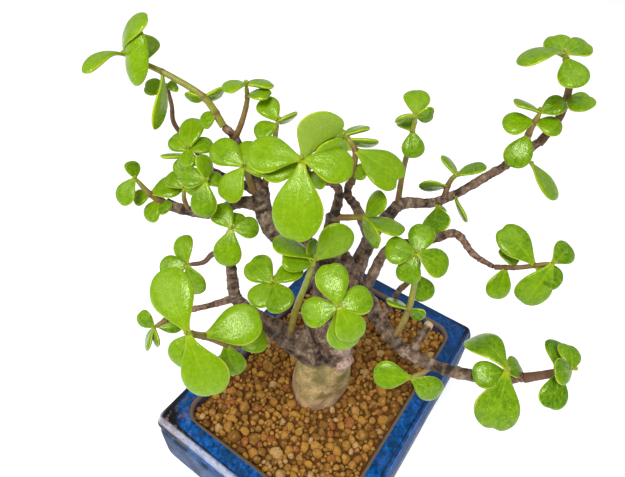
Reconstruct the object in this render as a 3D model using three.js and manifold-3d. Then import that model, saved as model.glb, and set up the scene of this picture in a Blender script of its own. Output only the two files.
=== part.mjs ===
// A small jade bonsai (dwarf jade) standing in granules in a rectangular glazed pot.
// Millimetres, +Z up. The pot's feet stand on z = 0 and its long side runs along X.
import * as THREE from 'three';
import { mergeVertices } from 'three/addons/utils/BufferGeometryUtils.js';
import Module from 'manifold-3d';

// ---- driving dimensions -------------------------------------------------------------------

const GAP = 0.3; // clearance between pieces that touch

const POT_LENGTH = 132; // over the lip's top edge, along X
const POT_WIDTH = 95; // over the lip's top edge, along Y
const POT_HEIGHT = 48; // from the feet to the lip's top
const LIP_WIDTH = 9.5;
const LIP_DEPTH = 8;
const LIP_ROUND = 1.6; // rounding of the lip's edges
const LIP_FLARE = 1; // the lip's side leans out this far under its top edge
const LIP_CORNER = 3; // outside corner radius in plan
const MOUTH_CORNER = 7; // inside corner radius in plan
const GROOVE_DEPTH = 3;
const GROOVE_HEIGHT = 2;
const BELLY = 1; // the body reaches this far beyond the lip's top edge
const BELLY_FOOT = 22; // height where the upright belly begins to round in to the base
const BODY_CORNER = [9, 4]; // corner radius of the body in plan, at its base and its top
const BASE_INSET = 10; // the body's foot line lies this far inside the lip's top edge
const WALL = 7;
const FLOOR_THICKNESS = 6;
const FOOT_HEIGHT = 5;
const FOOT_SIZE = [22, 13];
const FOOT_INSET = 17; // from the lip's edge to the foot's outer side
const CORNER_STEPS = 4;

const DRAIN_SPACING = 52; // between the two drainage holes
const DRAIN_RADIUS = 6;
const SCREEN_SIZE = 21;
const SCREEN_THICKNESS = 0.9;
const SCREEN_CELLS = 3;
const SCREEN_CELL = 4.6;
const SCREEN_PITCH = 6.2;

const SOIL_DEPTH = 6; // the granules lie this far under the lip's top
const SOIL_RELIEF = 0.8;
const SOIL_RINGS = 9;

const PLANT_TURN = -58; // degrees about Z: the plant's front looks over the pot's corner
const LIGHT = new THREE.Vector3(-0.1, -0.62, 0.78); // where the leaves turn their faces
const LIGHT_PULL = 0.75;
const LEAF_THICKNESS = 2.1;
const LEAF_STATIONS = [0, 0.2, 0.44, 0.7, 0.91];
const LEAF_BEND = 22; // degrees that a leaf droops from its base to its tip
const TWIG_SIDES = 5;

const COLOURS = {
  glaze: 0x1c3f86,
  granules: 0x9a6a35,
  bark: 0x7a6653,
  screen: 0x23262a,
  leaf: 0x86b815,
};

// ---- the plant's plan ---------------------------------------------------------------------
// The plant's own frame: x to its right, y to its back, z up from the pot's lip.

// Each limb: its points from the thick end, each with the wood's radius there.
const LIMBS = {
  trunk: {
    sides: 14,
    points: [[-5, -6, -22, 9], [-5, -6, -8, 13], [-4, -6, 4, 12.5], [-3, -5, 20, 12],
      [-1, -3, 36, 11], [-1, 2, 50, 10], [-2, 5, 61, 9], [-3, 6, 69, 7]],
  },
  left_limb: {
    sides: 10,
    points: [[-2, -6, 22, 8], [-12, -8, 28, 7], [-28, -5, 36, 3.9], [-38, -2, 42, 2.9],
      [-43, 0, 49, 2.5], [-44, 2, 62, 2.2], [-45, 4, 72, 2]],
  },
  left_twig: {
    sides: 7,
    points: [[-43, 0, 47, 1.6], [-54, -2, 43, 1.3], [-63, -4, 41, 1.2], [-71, -7, 38, 1.1]],
  },
  crown_limb: {
    sides: 10,
    points: [[-3, 5, 60, 6], [-12, 8, 70, 4.7], [-26, 10, 76, 4.1], [-32, 12, 86, 3.7],
      [-33, 13, 96, 2.8]],
  },
  brown_branch: {
    sides: 8,
    points: [[-31, 12, 88, 2.8], [-41, 13, 88, 2.3], [-52, 14, 81, 2.1], [-62, 15, 80, 2.1],
      [-71, 15, 83, 2.3]],
  },
  grey_branch: {
    sides: 7,
    points: [[-33, 13, 93, 2], [-42, 15, 96, 1.6], [-50, 17, 98, 1.4], [-57, 18, 102, 1.3]],
  },
  tall_branch: {
    sides: 8,
    points: [[-33, 13, 93, 2.5], [-38, 17, 104, 1.9], [-43, 20, 112, 1.6], [-47, 21, 116, 1.5]],
  },
  apex_limb: {
    sides: 9,
    points: [[-3, 6, 62, 5], [-5, 6, 78, 3.2], [-5, 7, 90, 2.7]],
  },
  apex_left: {
    sides: 7,
    points: [[-5, 7, 88, 2.2], [-4, 6, 98, 1.7], [-5, 3, 106, 1.5], [-9, -2, 112, 1.4],
      [-14, -5, 116, 1.4]],
  },
  apex_right: {
    sides: 7,
    points: [[11, 16, 72, 2.2], [4, 13, 89, 1.8], [0, 9, 97, 1.6], [-1, 8, 102, 1.5],
      [0, 7, 106, 1.4]],
  },
  back_limb: {
    sides: 9,
    points: [[-1, 3, 50, 6], [5, 9, 54, 4.4], [9, 14, 64, 3.3], [12, 16, 75, 2.8],
      [17, 18, 83, 2.5], [22, 20, 88, 2.3], [34, 23, 87, 1.9], [42, 25, 90, 1.8],
      [52, 28, 96, 1.8], [60, 30, 102, 1.7], [71, 33, 112, 1.7]],
  },
  middle_limb: {
    sides: 8,
    points: [[4, 1, 48, 4], [11, 4, 55, 2.4], [16, 8, 70, 1.9], [21, 8, 77, 1.7],
      [32, 5, 83, 1.6], [40, 3, 89, 1.6], [48, 0, 82, 1.2], [56, -3, 79, 1]],
  },
  right_limb: {
    sides: 9,
    points: [[2, 1, 50, 6], [11, 0, 52, 3.8], [17, -10, 51, 2.9], [22, -19, 51, 2.6],
      [28, -25, 51, 2.4], [38, -31, 53, 2.2], [46, -35, 56, 2.1], [56, -39, 61, 1.8],
      [61, -42, 68, 1.5]],
  },
  cut_stub: { sides: 8, points: [[28, -24, 51, 1.9], [32, -18, 53, 1.7], [36, -12, 55, 1.7]] },
  bare_twig: { sides: 6, points: [[17, -10, 51, 1.6], [20, -8, 60, 1.4], [23, -6, 68, 1.2]] },
};

// Each shoot: its points from the wood to its tip, the twig's radius at both ends, and its
// leaves as [place along the shoot, heading, rise, length, roll, bend, width factor].
// A heading of 0 is the plant's right and 90 its back; angles are in degrees.
const SHOOTS = {
  apex: {
    points: [[-14, -5, 115], [-16, -8, 120], [-17, -10, 125]],
    radii: [1.4, 1],
    leaves: [[1, 178, 8, 17], [1, -8, 2, 16], [0.95, 265, -45, 25],
      [0.95, 50, 60, 18, -130, 40, 1.15], [0.55, 6, 29, 15, 69], [0.55, 186, 8, 14],
      [0.15, -55, 18, 8, 35, 18, 0.85]],
  },
  apex_right: {
    points: [[0, 7, 105], [0, 7, 112], [0, 7, 118], [-2, 10, 120], [-4, 12, 121]],
    radii: [1.3, 0.8],
    leaves: [[0.55, -25, -15, 19, -14, 15, 1.25], [0.55, 150, 12, 14], [0.85, 7, -19, 11, 104, 15],
      [1, 43, 9, 10, -30, 15], [1, 205, 20, 8], [0.12, -48, 50, 7, 20, 22, 0.85]],
  },
  inner: {
    points: [[-19, -7, 35], [-17, -9, 52], [-14, -12, 70], [-11, -13, 86]],
    radii: [1.5, 1],
    leaves: [[1, 6, 48, 17, 48, 24, 1.05], [1, 165, 30, 16, 50, 24, 1.1], [0.94, 82, 62, 9, 60],
      [0.94, 200, 32, 12, 5, 26, 0.9]],
  },
  fan: {
    points: [[-12, 6, 70], [-19, -5, 73], [-24, -14, 77], [-25, -18, 78]],
    radii: [1.3, 0.9],
    leaves: [[1, 142, 16, 12.5, 18, 12, 1.15], [1, 35, 20, 12, -24, 17, 0.9],
      [0.96, -70, -4, 12, -7, 18, 1.1], [0.96, -126, -10, 11, 12, 15]],
  },
  front_left: {
    points: [[-29, -5, 37], [-34, -20, 45], [-37, -33, 60], [-42, -43, 78], [-46, -50, 89]],
    radii: [1.6, 1],
    leaves: [[1, 130, 42, 20.5], [1, -58, -44, 21], [0.82, 12, 22, 18.5], [0.96, 232, -40, 11],
      [0.6, -61, -43, 12], [0.45, 14, 14, 11]],
  },
  front: {
    points: [[-1, -5, 38], [-1, -20, 62], [-3, -34, 84], [-3, -40, 94]],
    radii: [1.5, 1],
    leaves: [[1, 113, 45, 13.5], [1, -40, -41, 12.5], [0.97, 191, -12, 11.5],
      [0.97, 17, 18, 11], [0.82, -60, -48, 14]],
  },
  low_right: {
    points: [[36, -29, 52], [32, -31, 49], [28, -32, 47]],
    radii: [1.1, 0.9],
    leaves: [[1, 185, 5, 14], [1, -21, -21, 14]],
  },
  right_front: {
    points: [[56, -39, 61], [55, -41, 66], [54, -42, 71]],
    radii: [1.4, 1.1],
    leaves: [[1, 260, -47, 22], [1, 120, 25, 19, 20, 80], [0.8, 190, 0, 11], [0.8, 35, -10, 9.5]],
  },
  right_end: {
    points: [[61, -42, 67], [67, -44, 74], [71, -45, 78]],
    radii: [1.6, 1],
    leaves: [[0.65, 75, 15, 12], [0.65, 255, -25, 12], [1, 80, 20, 9], [1, 215, 30, 9]],
  },
  right_middle: {
    points: [[22, -18, 51], [25, -16, 66], [25, -14, 80], [23, -13, 93]],
    radii: [1.3, 1],
    leaves: [[1, 180, 6, 10.5, 0, 22, 1.15], [1, -14, -14, 13], [0.97, 72, 45, 11.5],
      [0.97, 243, -44, 10.5], [0.84, 125, 10, 9], [0.35, 160, 20, 9, 60],
      [0.35, -30, -15, 6.5, 60]],
  },
  bare_twig_tip: {
    points: [[23, -6, 67], [25, -7, 72], [27, -8, 77]],
    radii: [1.2, 0.8],
    leaves: [[1, -52, -38, 10.5], [1, 120, 25, 8]],
  },
  back_hanging: {
    points: [[37, 24, 87], [37, 22, 86], [36, 20, 87]],
    radii: [1.1, 0.9],
    leaves: [[1, 256, -4, 14, 35, 15, 1.15], [0.9, 60, -20, 7]],
  },
  centre: {
    points: [[-5, 7, 89], [1, 3, 93], [6, 0, 96]],
    radii: [1.3, 1],
    leaves: [[1, 16, 65, 11, -55, 10, 1.15], [1, -35, 10, 15, -42, 10], [0.9, -70, -12, 13, 84, 15]],
  },
  back_tall: {
    points: [[20, 20, 88], [20, 22, 100], [20, 21, 115], [20, 20, 126]],
    radii: [1.2, 0.8],
    leaves: [[1, 88, 30, 12], [1, 182, -8, 7.5, 70], [1, 0, 4, 6.5, 70], [0.8, -80, -40, 9.5],
      [0.8, 110, 15, 8]],
  },
  back_fork: {
    points: [[39, 25, 89], [40, 28, 92], [41, 28, 96], [42, 27, 98]],
    radii: [1.2, 0.9],
    leaves: [[0.34, 201, -2, 12, -100, 30], [1, 114, 21, 10.5, 45, 10], [1, 21, 23, 12, -52, 10]],
  },
  back_drop: {
    points: [[46, 26, 93], [45, 25, 91], [43, 24, 90]],
    radii: [1, 0.8],
    leaves: [[1, -84, -18, 12, 87]],
  },
  far_round: {
    points: [[66, 32, 107], [65, 31, 117], [66, 31, 125]],
    radii: [1.4, 1],
    leaves: [[0.45, 240, -40, 13.5], [0.75, 186, 0, 11.5], [0.75, -20, 5, 10], [1, 165, 25, 10.5, 45],
      [1, 0, 40, 9]],
  },
  far_hanging: {
    points: [[66, 31, 107], [68, 30, 106], [69, 29, 105]],
    radii: [1, 0.8],
    leaves: [[1, -51, -21, 17, -40, 15]],
  },
  far_tall: {
    points: [[71, 33, 111], [76, 36, 122], [74, 35, 135], [67, 32, 146]],
    radii: [1.7, 1],
    leaves: [[1, 186, 22, 17, 50, 70], [1, 30, 20, 11], [0.95, 110, 30, 11], [0.95, -85, -10, 13],
      [0.5, -20, 10, 8], [0.5, -68, 20, 11]],
  },
  middle_end: {
    points: [[56, -3, 79], [64, -6, 83], [72, -9, 89]],
    radii: [1, 0.8],
    leaves: [[0.2, 255, -45, 12.5], [0.35, 95, 20, 9], [0.72, 140, 33, 18], [0.72, -34, -10, 11],
      [1, 230, -52, 18], [1, 38, 20, 11]],
  },
  tall_side: {
    points: [[-43, 20, 112], [-40, 20, 119], [-38, 20, 127], [-38, 20, 133]],
    radii: [1.2, 0.7],
    leaves: [[1, 220, 28, 9, 35, 60], [1, 26, 0, 9.5, -30, 15], [0.75, -14, 37, 9, -35, 50]],
  },
  crown_side: {
    points: [[-32, 14, 95], [-29, 15, 109], [-27, 15, 123]],
    radii: [1.4, 0.8],
    leaves: [[1, 142, 40, 9.5], [1, 43, -12, 8.5, 105, 15], [0.95, 200, -15, 8.5]],
  },
  tall: {
    points: [[-47, 21, 116], [-53, 23, 125], [-64, 25, 131], [-73, 27, 134], [-80, 27, 137]],
    radii: [1.4, 0.8],
    leaves: [[1, -120, 34, 19, 0, 70, 0.5], [1, -80, 75, 18, -20, 75, 0.8],
      [0.98, -76, 22, 13.5, 46, 80, 1.8], [0.8, 90, 38, 12, 31], [0.6, -76, -53, 20, -97, 30, 0.6],
      [0.27, 41, -9, 9, 110, 15], [0.27, 171, -18, 7, -95, 15], [0.12, 205, -30, 7]],
  },
  grey_tip: {
    points: [[-57, 18, 101], [-59, 18, 104], [-60, 18, 107]],
    radii: [1.3, 1],
    leaves: [[1, 88, 42, 13], [1, 272, -20, 8], [0.9, 150, 22, 9.5], [0.9, 30, 16, 9.5],
      [0.4, 176, 10, 12, 60], [0.4, 218, -22, 9]],
  },
  grey_side: {
    points: [[-52, 18, 99], [-60, 25, 103], [-67, 28, 111], [-67, 28, 119], [-68, 29, 125]],
    radii: [1.1, 0.7],
    leaves: [[1, 185, 8, 8.5], [1, 20, 20, 4]],
  },
  crown_front: {
    points: [[-35, 12, 94], [-37, 10, 102], [-38, 8, 108]],
    radii: [1.4, 1],
    leaves: [[1, 155, 26, 14.5], [1, 227, -39, 14], [0.95, 82, 40, 11], [0.95, 10, 5, 9]],
  },
  brown_up: {
    points: [[-51, 14, 81], [-52, 9, 93], [-51, 5, 103]],
    radii: [1.3, 0.9],
    leaves: [[1, 262, -45, 13], [1, 95, 60, 9.5, 60], [1, 180, 15, 9], [0.9, 45, 10, 7]],
  },
  brown_end: {
    points: [[-71, 15, 83], [-76, 14, 88], [-80, 13, 96]],
    radii: [1.6, 0.8],
    leaves: [[1, 230, -35, 11.5], [1, 110, 60, 6.5, 60], [0.5, 20, 22, 13], [0.5, 200, -10, 7],
      [0.22, 235, -36, 9.5], [0.12, 300, 0, 6]],
  },
  brown_side: {
    points: [[-62, 15, 80], [-63, 14, 87], [-62, 13, 93]],
    radii: [1, 0.8],
    leaves: [[1, 150, 30, 8.5], [1, -10, 20, 7]],
  },
  left_top: {
    points: [[-45, 4, 71], [-44, 3, 80], [-42, 0, 86]],
    radii: [2, 1],
    leaves: [[1, 140, 36, 11], [1, 258, -45, 14.5], [1, 10, 5, 10], [0.95, 80, 20, 8]],
  },
  left_side: {
    points: [[-45, 4, 70], [-51, 3, 69], [-55, 2, 65], [-61, 0, 65]],
    radii: [1.3, 0.8],
    leaves: [[1, 118, 38, 12.5], [1, -60, -45, 13], [0.96, 196, 0, 12]],
  },
  left_low: {
    points: [[-71, -7, 38], [-74, -9, 37], [-76, -10, 36]],
    radii: [1.2, 0.8],
    leaves: [[1, 160, 30, 9], [1, 235, -40, 10.5, 40], [1, -80, -30, 8.5, 40], [0.8, 15, 5, 11.5]],
  },
};

// ---- geometry helpers ---------------------------------------------------------------------

const wasm = await Module();
wasm.setup();

const radians = THREE.MathUtils.degToRad;

// Joins rings of points into one closed skin. The rings run anticlockwise about the way that
// they follow each other. A ring may be a single point, where the skin comes to a tip.
function loft(rings) {
  const points = [];
  const triangles = [];
  const starts = rings.map((ring) => points.push(...ring) - ring.length);
  rings.slice(1).forEach((next, i) => {
    const ring = rings[i];
    const count = Math.max(ring.length, next.length);
    for (let j = 0; j < count; j += 1) {
      const k = (j + 1) % count;
      const a = starts[i] + (ring.length > 1 ? j : 0);
      const b = starts[i] + (ring.length > 1 ? k : 0);
      const c = starts[i + 1] + (next.length > 1 ? k : 0);
      const d = starts[i + 1] + (next.length > 1 ? j : 0);
      if (a !== b) triangles.push(a, b, c);
      if (c !== d) triangles.push(a, c, d);
    }
  });
  const close = (ring, start, flip) => {
    for (let j = 1; j < ring.length - 1; j += 1) {
      triangles.push(start, start + (flip ? j + 1 : j), start + (flip ? j : j + 1));
    }
  };
  close(rings[0], starts[0], true);
  close(rings.at(-1), starts.at(-1), false);
  const geometry = new THREE.BufferGeometry().setFromPoints(points);
  geometry.setIndex(triangles);
  return geometry;
}

function solidOf(geometry) {
  const skin = geometry.clone();
  skin.deleteAttribute('normal');
  skin.deleteAttribute('uv');
  const merged = mergeVertices(skin, 1e-4);
  const mesh = new wasm.Mesh({
    numProp: 3,
    vertProperties: merged.getAttribute('position').array,
    triVerts: Uint32Array.from(merged.index.array),
  });
  return new wasm.Manifold(mesh);
}

// The largest piece of a solid: what is cut off and falls away is dropped.
function largestPiece(solid) {
  return solid.decompose().reduce((best, piece) => (piece.volume() > best.volume() ? piece : best));
}

function geometryOf(solid) {
  const { vertProperties, triVerts } = solid.getMesh();
  const geometry = new THREE.BufferGeometry();
  geometry.setAttribute('position', new THREE.BufferAttribute(vertProperties, 3));
  geometry.setIndex(new THREE.BufferAttribute(triVerts, 1));
  geometry.computeVertexNormals();
  return geometry;
}

const unionOf = (solids) => solids.reduce((whole, solid) => whole.add(solid));

function meshOf(name, solid, colour, roughness) {
  const material = new THREE.MeshStandardMaterial({ color: colour, roughness, metalness: 0 });
  const mesh = new THREE.Mesh(geometryOf(solid), material);
  mesh.name = name;
  return mesh;
}

function boxSolid(width, depth, height, x, y, z) {
  return solidOf(new THREE.BoxGeometry(width, depth, height).translate(x, y, z));
}

// A horizontal rounded rectangle, anticlockwise from above.
function roundedRing(halfX, halfY, radius, z) {
  const ring = [];
  const corners = [[1, 1, 0], [-1, 1, 90], [-1, -1, 180], [1, -1, 270]];
  corners.forEach(([signX, signY, start]) => {
    for (let i = 0; i <= CORNER_STEPS; i += 1) {
      const angle = radians(start + (90 * i) / CORNER_STEPS);
      ring.push(new THREE.Vector3(
        signX * (halfX - radius) + radius * Math.cos(angle),
        signY * (halfY - radius) + radius * Math.sin(angle),
        z,
      ));
    }
  });
  return ring;
}

// Stations along a limb or twig: centre, way, and a side and an upward direction across it that
// turn as little as they can from one station to the next.
function stationsAlong(points, stepsPerSpan) {
  const curve = new THREE.CatmullRomCurve3(
    points.map(([x, y, z]) => new THREE.Vector3(x, y, z)),
    false,
    'catmullrom',
  );
  const count = (points.length - 1) * stepsPerSpan;
  let side = new THREE.Vector3(0, 1, 0.2);
  return Array.from({ length: count + 1 }, (_, i) => {
    const place = i / count;
    const way = curve.getTangent(place);
    side = side.clone().addScaledVector(way, -side.dot(way)).normalize();
    const up = new THREE.Vector3().crossVectors(way, side);
    return { place, centre: curve.getPoint(place), way, side, up };
  });
}

// ---- the pot ------------------------------------------------------------------------------

const HALF_LENGTH = POT_LENGTH / 2;
const HALF_WIDTH = POT_WIDTH / 2;
const FLOOR_TOP = FOOT_HEIGHT + FLOOR_THICKNESS;
const BODY_TOP = POT_HEIGHT - LIP_DEPTH - GROOVE_HEIGHT;

const lipRing = (inset, radius, z) => roundedRing(HALF_LENGTH - inset, HALF_WIDTH - inset, radius, z);

// The body's outside: how far it lies inside the lip's top edge at a height.
function bodyInset(z) {
  const down = Math.max(0, BELLY_FOOT - z) / (BELLY_FOOT - FOOT_HEIGHT);
  return (BASE_INSET + BELLY) * down ** 2.2 - BELLY;
}

// The space inside, which the soil fills: its inset from the lip's edge at a height.
const innerInset = (z) => Math.max(LIP_WIDTH, bodyInset(z) + WALL);
const INNER_LEVELS = [0, 0.25, 0.5, 0.85].map((part) => FLOOR_TOP + part * (BODY_TOP - FLOOR_TOP));

function potBlank() {
  const grooveTop = POT_HEIGHT - LIP_DEPTH;
  const outside = [0, 0.08, 0.18, 0.3, 0.45, 0.7, 0.95].map((part) => {
    const z = FOOT_HEIGHT + part * (BODY_TOP - FOOT_HEIGHT);
    return lipRing(bodyInset(z), THREE.MathUtils.lerp(...BODY_CORNER, part), z);
  });
  const groove = [
    lipRing(1.2 - BELLY, 4, BODY_TOP),
    lipRing(GROOVE_DEPTH, 3.5, BODY_TOP + 0.6),
    lipRing(GROOVE_DEPTH, 3.5, grooveTop - 0.4),
  ];
  const lip = [
    lipRing(LIP_ROUND - LIP_FLARE, LIP_CORNER - 1, grooveTop),
    lipRing(-LIP_FLARE, LIP_CORNER, grooveTop + LIP_ROUND),
    lipRing(-0.7 * LIP_FLARE, LIP_CORNER, POT_HEIGHT - LIP_DEPTH / 2),
    lipRing(0, LIP_CORNER, POT_HEIGHT - LIP_ROUND),
    lipRing(LIP_ROUND * 0.3, LIP_CORNER, POT_HEIGHT - LIP_ROUND * 0.3),
    lipRing(LIP_ROUND, LIP_CORNER - 0.5, POT_HEIGHT),
    lipRing(LIP_WIDTH - LIP_ROUND, MOUTH_CORNER - 1, POT_HEIGHT),
    lipRing(LIP_WIDTH, MOUTH_CORNER, POT_HEIGHT - LIP_ROUND),
  ];
  const inside = INNER_LEVELS.map((z) => lipRing(innerInset(z), MOUTH_CORNER, z)).reverse();
  return solidOf(loft([...outside, ...groove, ...lip, ...inside]));
}

function drainPlaces() {
  return [-DRAIN_SPACING / 2, DRAIN_SPACING / 2];
}

function pot() {
  const footX = HALF_LENGTH - FOOT_INSET - FOOT_SIZE[0] / 2;
  const footY = HALF_WIDTH - FOOT_INSET - FOOT_SIZE[1] / 2;
  const height = FOOT_HEIGHT + 1;
  const feet = [[1, 1], [-1, 1], [-1, -1], [1, -1]].map(
    ([signX, signY]) => boxSolid(...FOOT_SIZE, height, signX * footX, signY * footY, height / 2),
  );
  const holes = drainPlaces().map((x) => solidOf(
    new THREE.CylinderGeometry(DRAIN_RADIUS, DRAIN_RADIUS, 3 * FLOOR_THICKNESS, 20)
      .rotateX(Math.PI / 2)
      .translate(x, 0, FOOT_HEIGHT + FLOOR_THICKNESS / 2),
  ));
  return unionOf([potBlank(), ...feet]).subtract(unionOf(holes));
}

// ---- drain screens ------------------------------------------------------------------------

function drainScreen(x) {
  const z = FLOOR_TOP + GAP + SCREEN_THICKNESS / 2;
  const plate = boxSolid(SCREEN_SIZE, SCREEN_SIZE, SCREEN_THICKNESS, x, 0, z);
  const cells = [];
  const first = (-SCREEN_PITCH * (SCREEN_CELLS - 1)) / 2;
  for (let i = 0; i < SCREEN_CELLS; i += 1) {
    for (let j = 0; j < SCREEN_CELLS; j += 1) {
      cells.push(boxSolid(
        SCREEN_CELL,
        SCREEN_CELL,
        3 * SCREEN_THICKNESS,
        x + first + i * SCREEN_PITCH,
        first + j * SCREEN_PITCH,
        z,
      ));
    }
  }
  return plate.subtract(unionOf(cells));
}

// ---- wood ---------------------------------------------------------------------------------

// Old bark is lobed: the radius swells and sinks a little round the limb and along it.
const barkLobes = (angle, z) => 1 + 0.06 * Math.sin(3 * angle + z / 9) + 0.04 * Math.sin(5 * angle - z / 5);

function limbSolid({ points, sides }, extra) {
  const stations = stationsAlong(points, 2);
  const rings = stations.map(({ place, centre, way, side, up }, index) => {
    const along = place * (points.length - 1);
    const span = Math.min(points.length - 2, Math.floor(along));
    const radius = THREE.MathUtils.lerp(points[span][3], points[span + 1][3], along - span);
    const ends = (index === stations.length - 1) - (index === 0);
    return Array.from({ length: sides }, (_, i) => {
      const angle = (2 * Math.PI * i) / sides;
      const reach = radius * barkLobes(angle, centre.z) + extra;
      return centre.clone()
        .addScaledVector(side, reach * Math.cos(angle))
        .addScaledVector(up, reach * Math.sin(angle))
        .addScaledVector(way, ends * extra);
    });
  });
  return solidOf(loft(rings));
}

const woodSolid = (extra) => unionOf(Object.values(LIMBS).map((limb) => limbSolid(limb, extra)));

// ---- leafy shoots -------------------------------------------------------------------------

// Half the width of a leaf, as a share of its widest, from its stalk (0) to its tip (1). Long
// leaves narrow more towards the stalk than short ones.
function leafOutline(t, length) {
  const widest = 0.63;
  if (t > widest) return (1 - ((t - widest) / (1 - widest)) ** 2.2) ** (1 / 2.2);
  const taper = Math.min(1.75, 0.6 + 0.055 * length);
  return 0.13 + 0.87 * Math.sin((Math.PI / 2) * (t / widest)) ** taper;
}

function leafSolid(root, axis, [, heading, rise, length, roll = 0, bend = LEAF_BEND, wide = 1]) {
  const level = Math.cos(radians(rise));
  const way = new THREE.Vector3(
    level * Math.cos(radians(heading)),
    level * Math.sin(radians(heading)),
    Math.sin(radians(rise)),
  );
  const face = axis.clone().multiplyScalar(1 - LIGHT_PULL).addScaledVector(LIGHT, LIGHT_PULL);
  face.addScaledVector(way, -face.dot(way)).normalize();
  face.applyAxisAngle(way, radians(roll));
  const side = new THREE.Vector3().crossVectors(face, way);
  const halfWidth = (wide * (3.5 + 0.5 * length)) / 2;
  // The middle line is an arc that bends from the leaf's way towards its underside.
  const total = Math.max(1e-3, radians(bend));
  const radius = length / total;
  const midPoint = (t) => root.clone()
    .addScaledVector(way, radius * Math.sin(total * t))
    .addScaledVector(face, radius * (Math.cos(total * t) - 1));
  const rings = LEAF_STATIONS.map((t) => {
    const centre = midPoint(t);
    const outline = leafOutline(t, length);
    const half = halfWidth * outline;
    const thick = (LEAF_THICKNESS / 2) * (0.45 + 0.55 * outline);
    const normal = face.clone().applyAxisAngle(side, total * t);
    return [
      centre.clone().addScaledVector(side, half),
      centre.clone().addScaledVector(normal, thick * 0.8),
      centre.clone().addScaledVector(side, -half),
      centre.clone().addScaledVector(normal, -thick * 1.2),
    ];
  });
  return solidOf(loft([...rings, [midPoint(1)]]));
}

function shootSolid({ points, radii, leaves }, wood) {
  const stations = stationsAlong(points, 2);
  const rings = stations.map(({ place, centre, side, up }) => {
    const radius = THREE.MathUtils.lerp(radii[0], radii[1], place);
    return Array.from({ length: TWIG_SIDES }, (_, i) => {
      const angle = (2 * Math.PI * i) / TWIG_SIDES;
      return centre.clone()
        .addScaledVector(side, radius * Math.cos(angle))
        .addScaledVector(up, radius * Math.sin(angle));
    });
  });
  const { centre: tip, way: tipWay } = stations.at(-1);
  rings.push([tip.clone().addScaledVector(tipWay, 1.5 * radii[1])]);
  const twig = solidOf(loft(rings));
  const curve = new THREE.CatmullRomCurve3(
    points.map((point) => new THREE.Vector3(...point)),
    false,
    'catmullrom',
  );
  const blades = leaves.map((leaf) => leafSolid(curve.getPoint(leaf[0]), curve.getTangent(leaf[0]), leaf));
  return largestPiece(unionOf([twig, ...blades]).subtract(wood));
}

// ---- soil ---------------------------------------------------------------------------------

// The granules' surface: small heaps and hollows.
const soilRelief = (x, y) => SOIL_RELIEF * (Math.sin(x / 2.3 + y / 7) * Math.cos(y / 2.9 - x / 11));

function soil(wood) {
  const top = POT_HEIGHT - SOIL_DEPTH;
  const low = FLOOR_TOP + GAP;
  const sides = [...INNER_LEVELS, BODY_TOP].map(
    (z) => lipRing(innerInset(z) + GAP, MOUTH_CORNER, Math.max(z, low)),
  );
  const inset = LIP_WIDTH + GAP;
  const surface = Array.from({ length: SOIL_RINGS }, (_, i) => {
    const scale = 1 - i / SOIL_RINGS;
    const ring = roundedRing(HALF_LENGTH - inset, HALF_WIDTH - inset, MOUTH_CORNER, top);
    return ring.map(({ x, y }) => new THREE.Vector3(
      x * scale,
      y * scale,
      top + soilRelief(x * scale, y * scale),
    ));
  });
  const centre = [new THREE.Vector3(0, 0, top)];
  const fill = solidOf(loft([...sides, ...surface, centre]));
  const pockets = drainPlaces().map((x) => boxSolid(
    SCREEN_SIZE + 2 * GAP,
    SCREEN_SIZE + 2 * GAP,
    2 * (SCREEN_THICKNESS + GAP),
    x,
    0,
    low,
  ));
  return largestPiece(fill.subtract(unionOf(pockets)).subtract(wood));
}

// ---- assembly -----------------------------------------------------------------------------

const plantFrame = new THREE.Matrix4()
  .makeRotationZ(radians(PLANT_TURN))
  .setPosition(0, 0, POT_HEIGHT);

const wood = woodSolid(0);
const woodClearance = woodSolid(GAP);

const plant = new THREE.Group();
plant.rotation.z = radians(PLANT_TURN);
plant.position.z = POT_HEIGHT;
plant.add(meshOf('trunk_and_branches', wood, COLOURS.bark, 0.85));
Object.entries(SHOOTS).forEach(([name, shoot]) => {
  plant.add(meshOf(`shoot_${name}`, shootSolid(shoot, woodClearance), COLOURS.leaf, 0.35));
});

const bonsai = new THREE.Group();
bonsai.add(meshOf('pot', pot(), COLOURS.glaze, 0.2));
drainPlaces().forEach((x, index) => {
  bonsai.add(meshOf(`drain_screen_${index + 1}`, drainScreen(x), COLOURS.screen, 0.6));
});
bonsai.add(meshOf('soil', soil(woodClearance.transform(plantFrame.elements)), COLOURS.granules, 0.95));
bonsai.add(plant);

export default bonsai;
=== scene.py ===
# How the jade bonsai looks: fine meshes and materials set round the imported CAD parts.
import math
from itertools import product

import bmesh
import bpy
import numpy as np
from mathutils import Matrix, Vector


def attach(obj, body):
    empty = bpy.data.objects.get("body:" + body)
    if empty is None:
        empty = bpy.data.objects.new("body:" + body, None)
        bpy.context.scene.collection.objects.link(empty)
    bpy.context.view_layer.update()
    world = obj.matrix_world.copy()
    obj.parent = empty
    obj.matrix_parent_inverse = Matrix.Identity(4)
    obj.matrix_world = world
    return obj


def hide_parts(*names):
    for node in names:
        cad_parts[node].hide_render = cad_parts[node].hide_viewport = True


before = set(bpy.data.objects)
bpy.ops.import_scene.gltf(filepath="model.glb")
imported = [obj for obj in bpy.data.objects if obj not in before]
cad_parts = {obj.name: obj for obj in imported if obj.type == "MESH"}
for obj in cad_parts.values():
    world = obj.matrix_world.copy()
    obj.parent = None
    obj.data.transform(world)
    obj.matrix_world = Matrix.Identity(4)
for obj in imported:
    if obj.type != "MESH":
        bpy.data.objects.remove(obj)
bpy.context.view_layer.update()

# ---- sizes, in millimetres, as the solids have them ----

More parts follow.
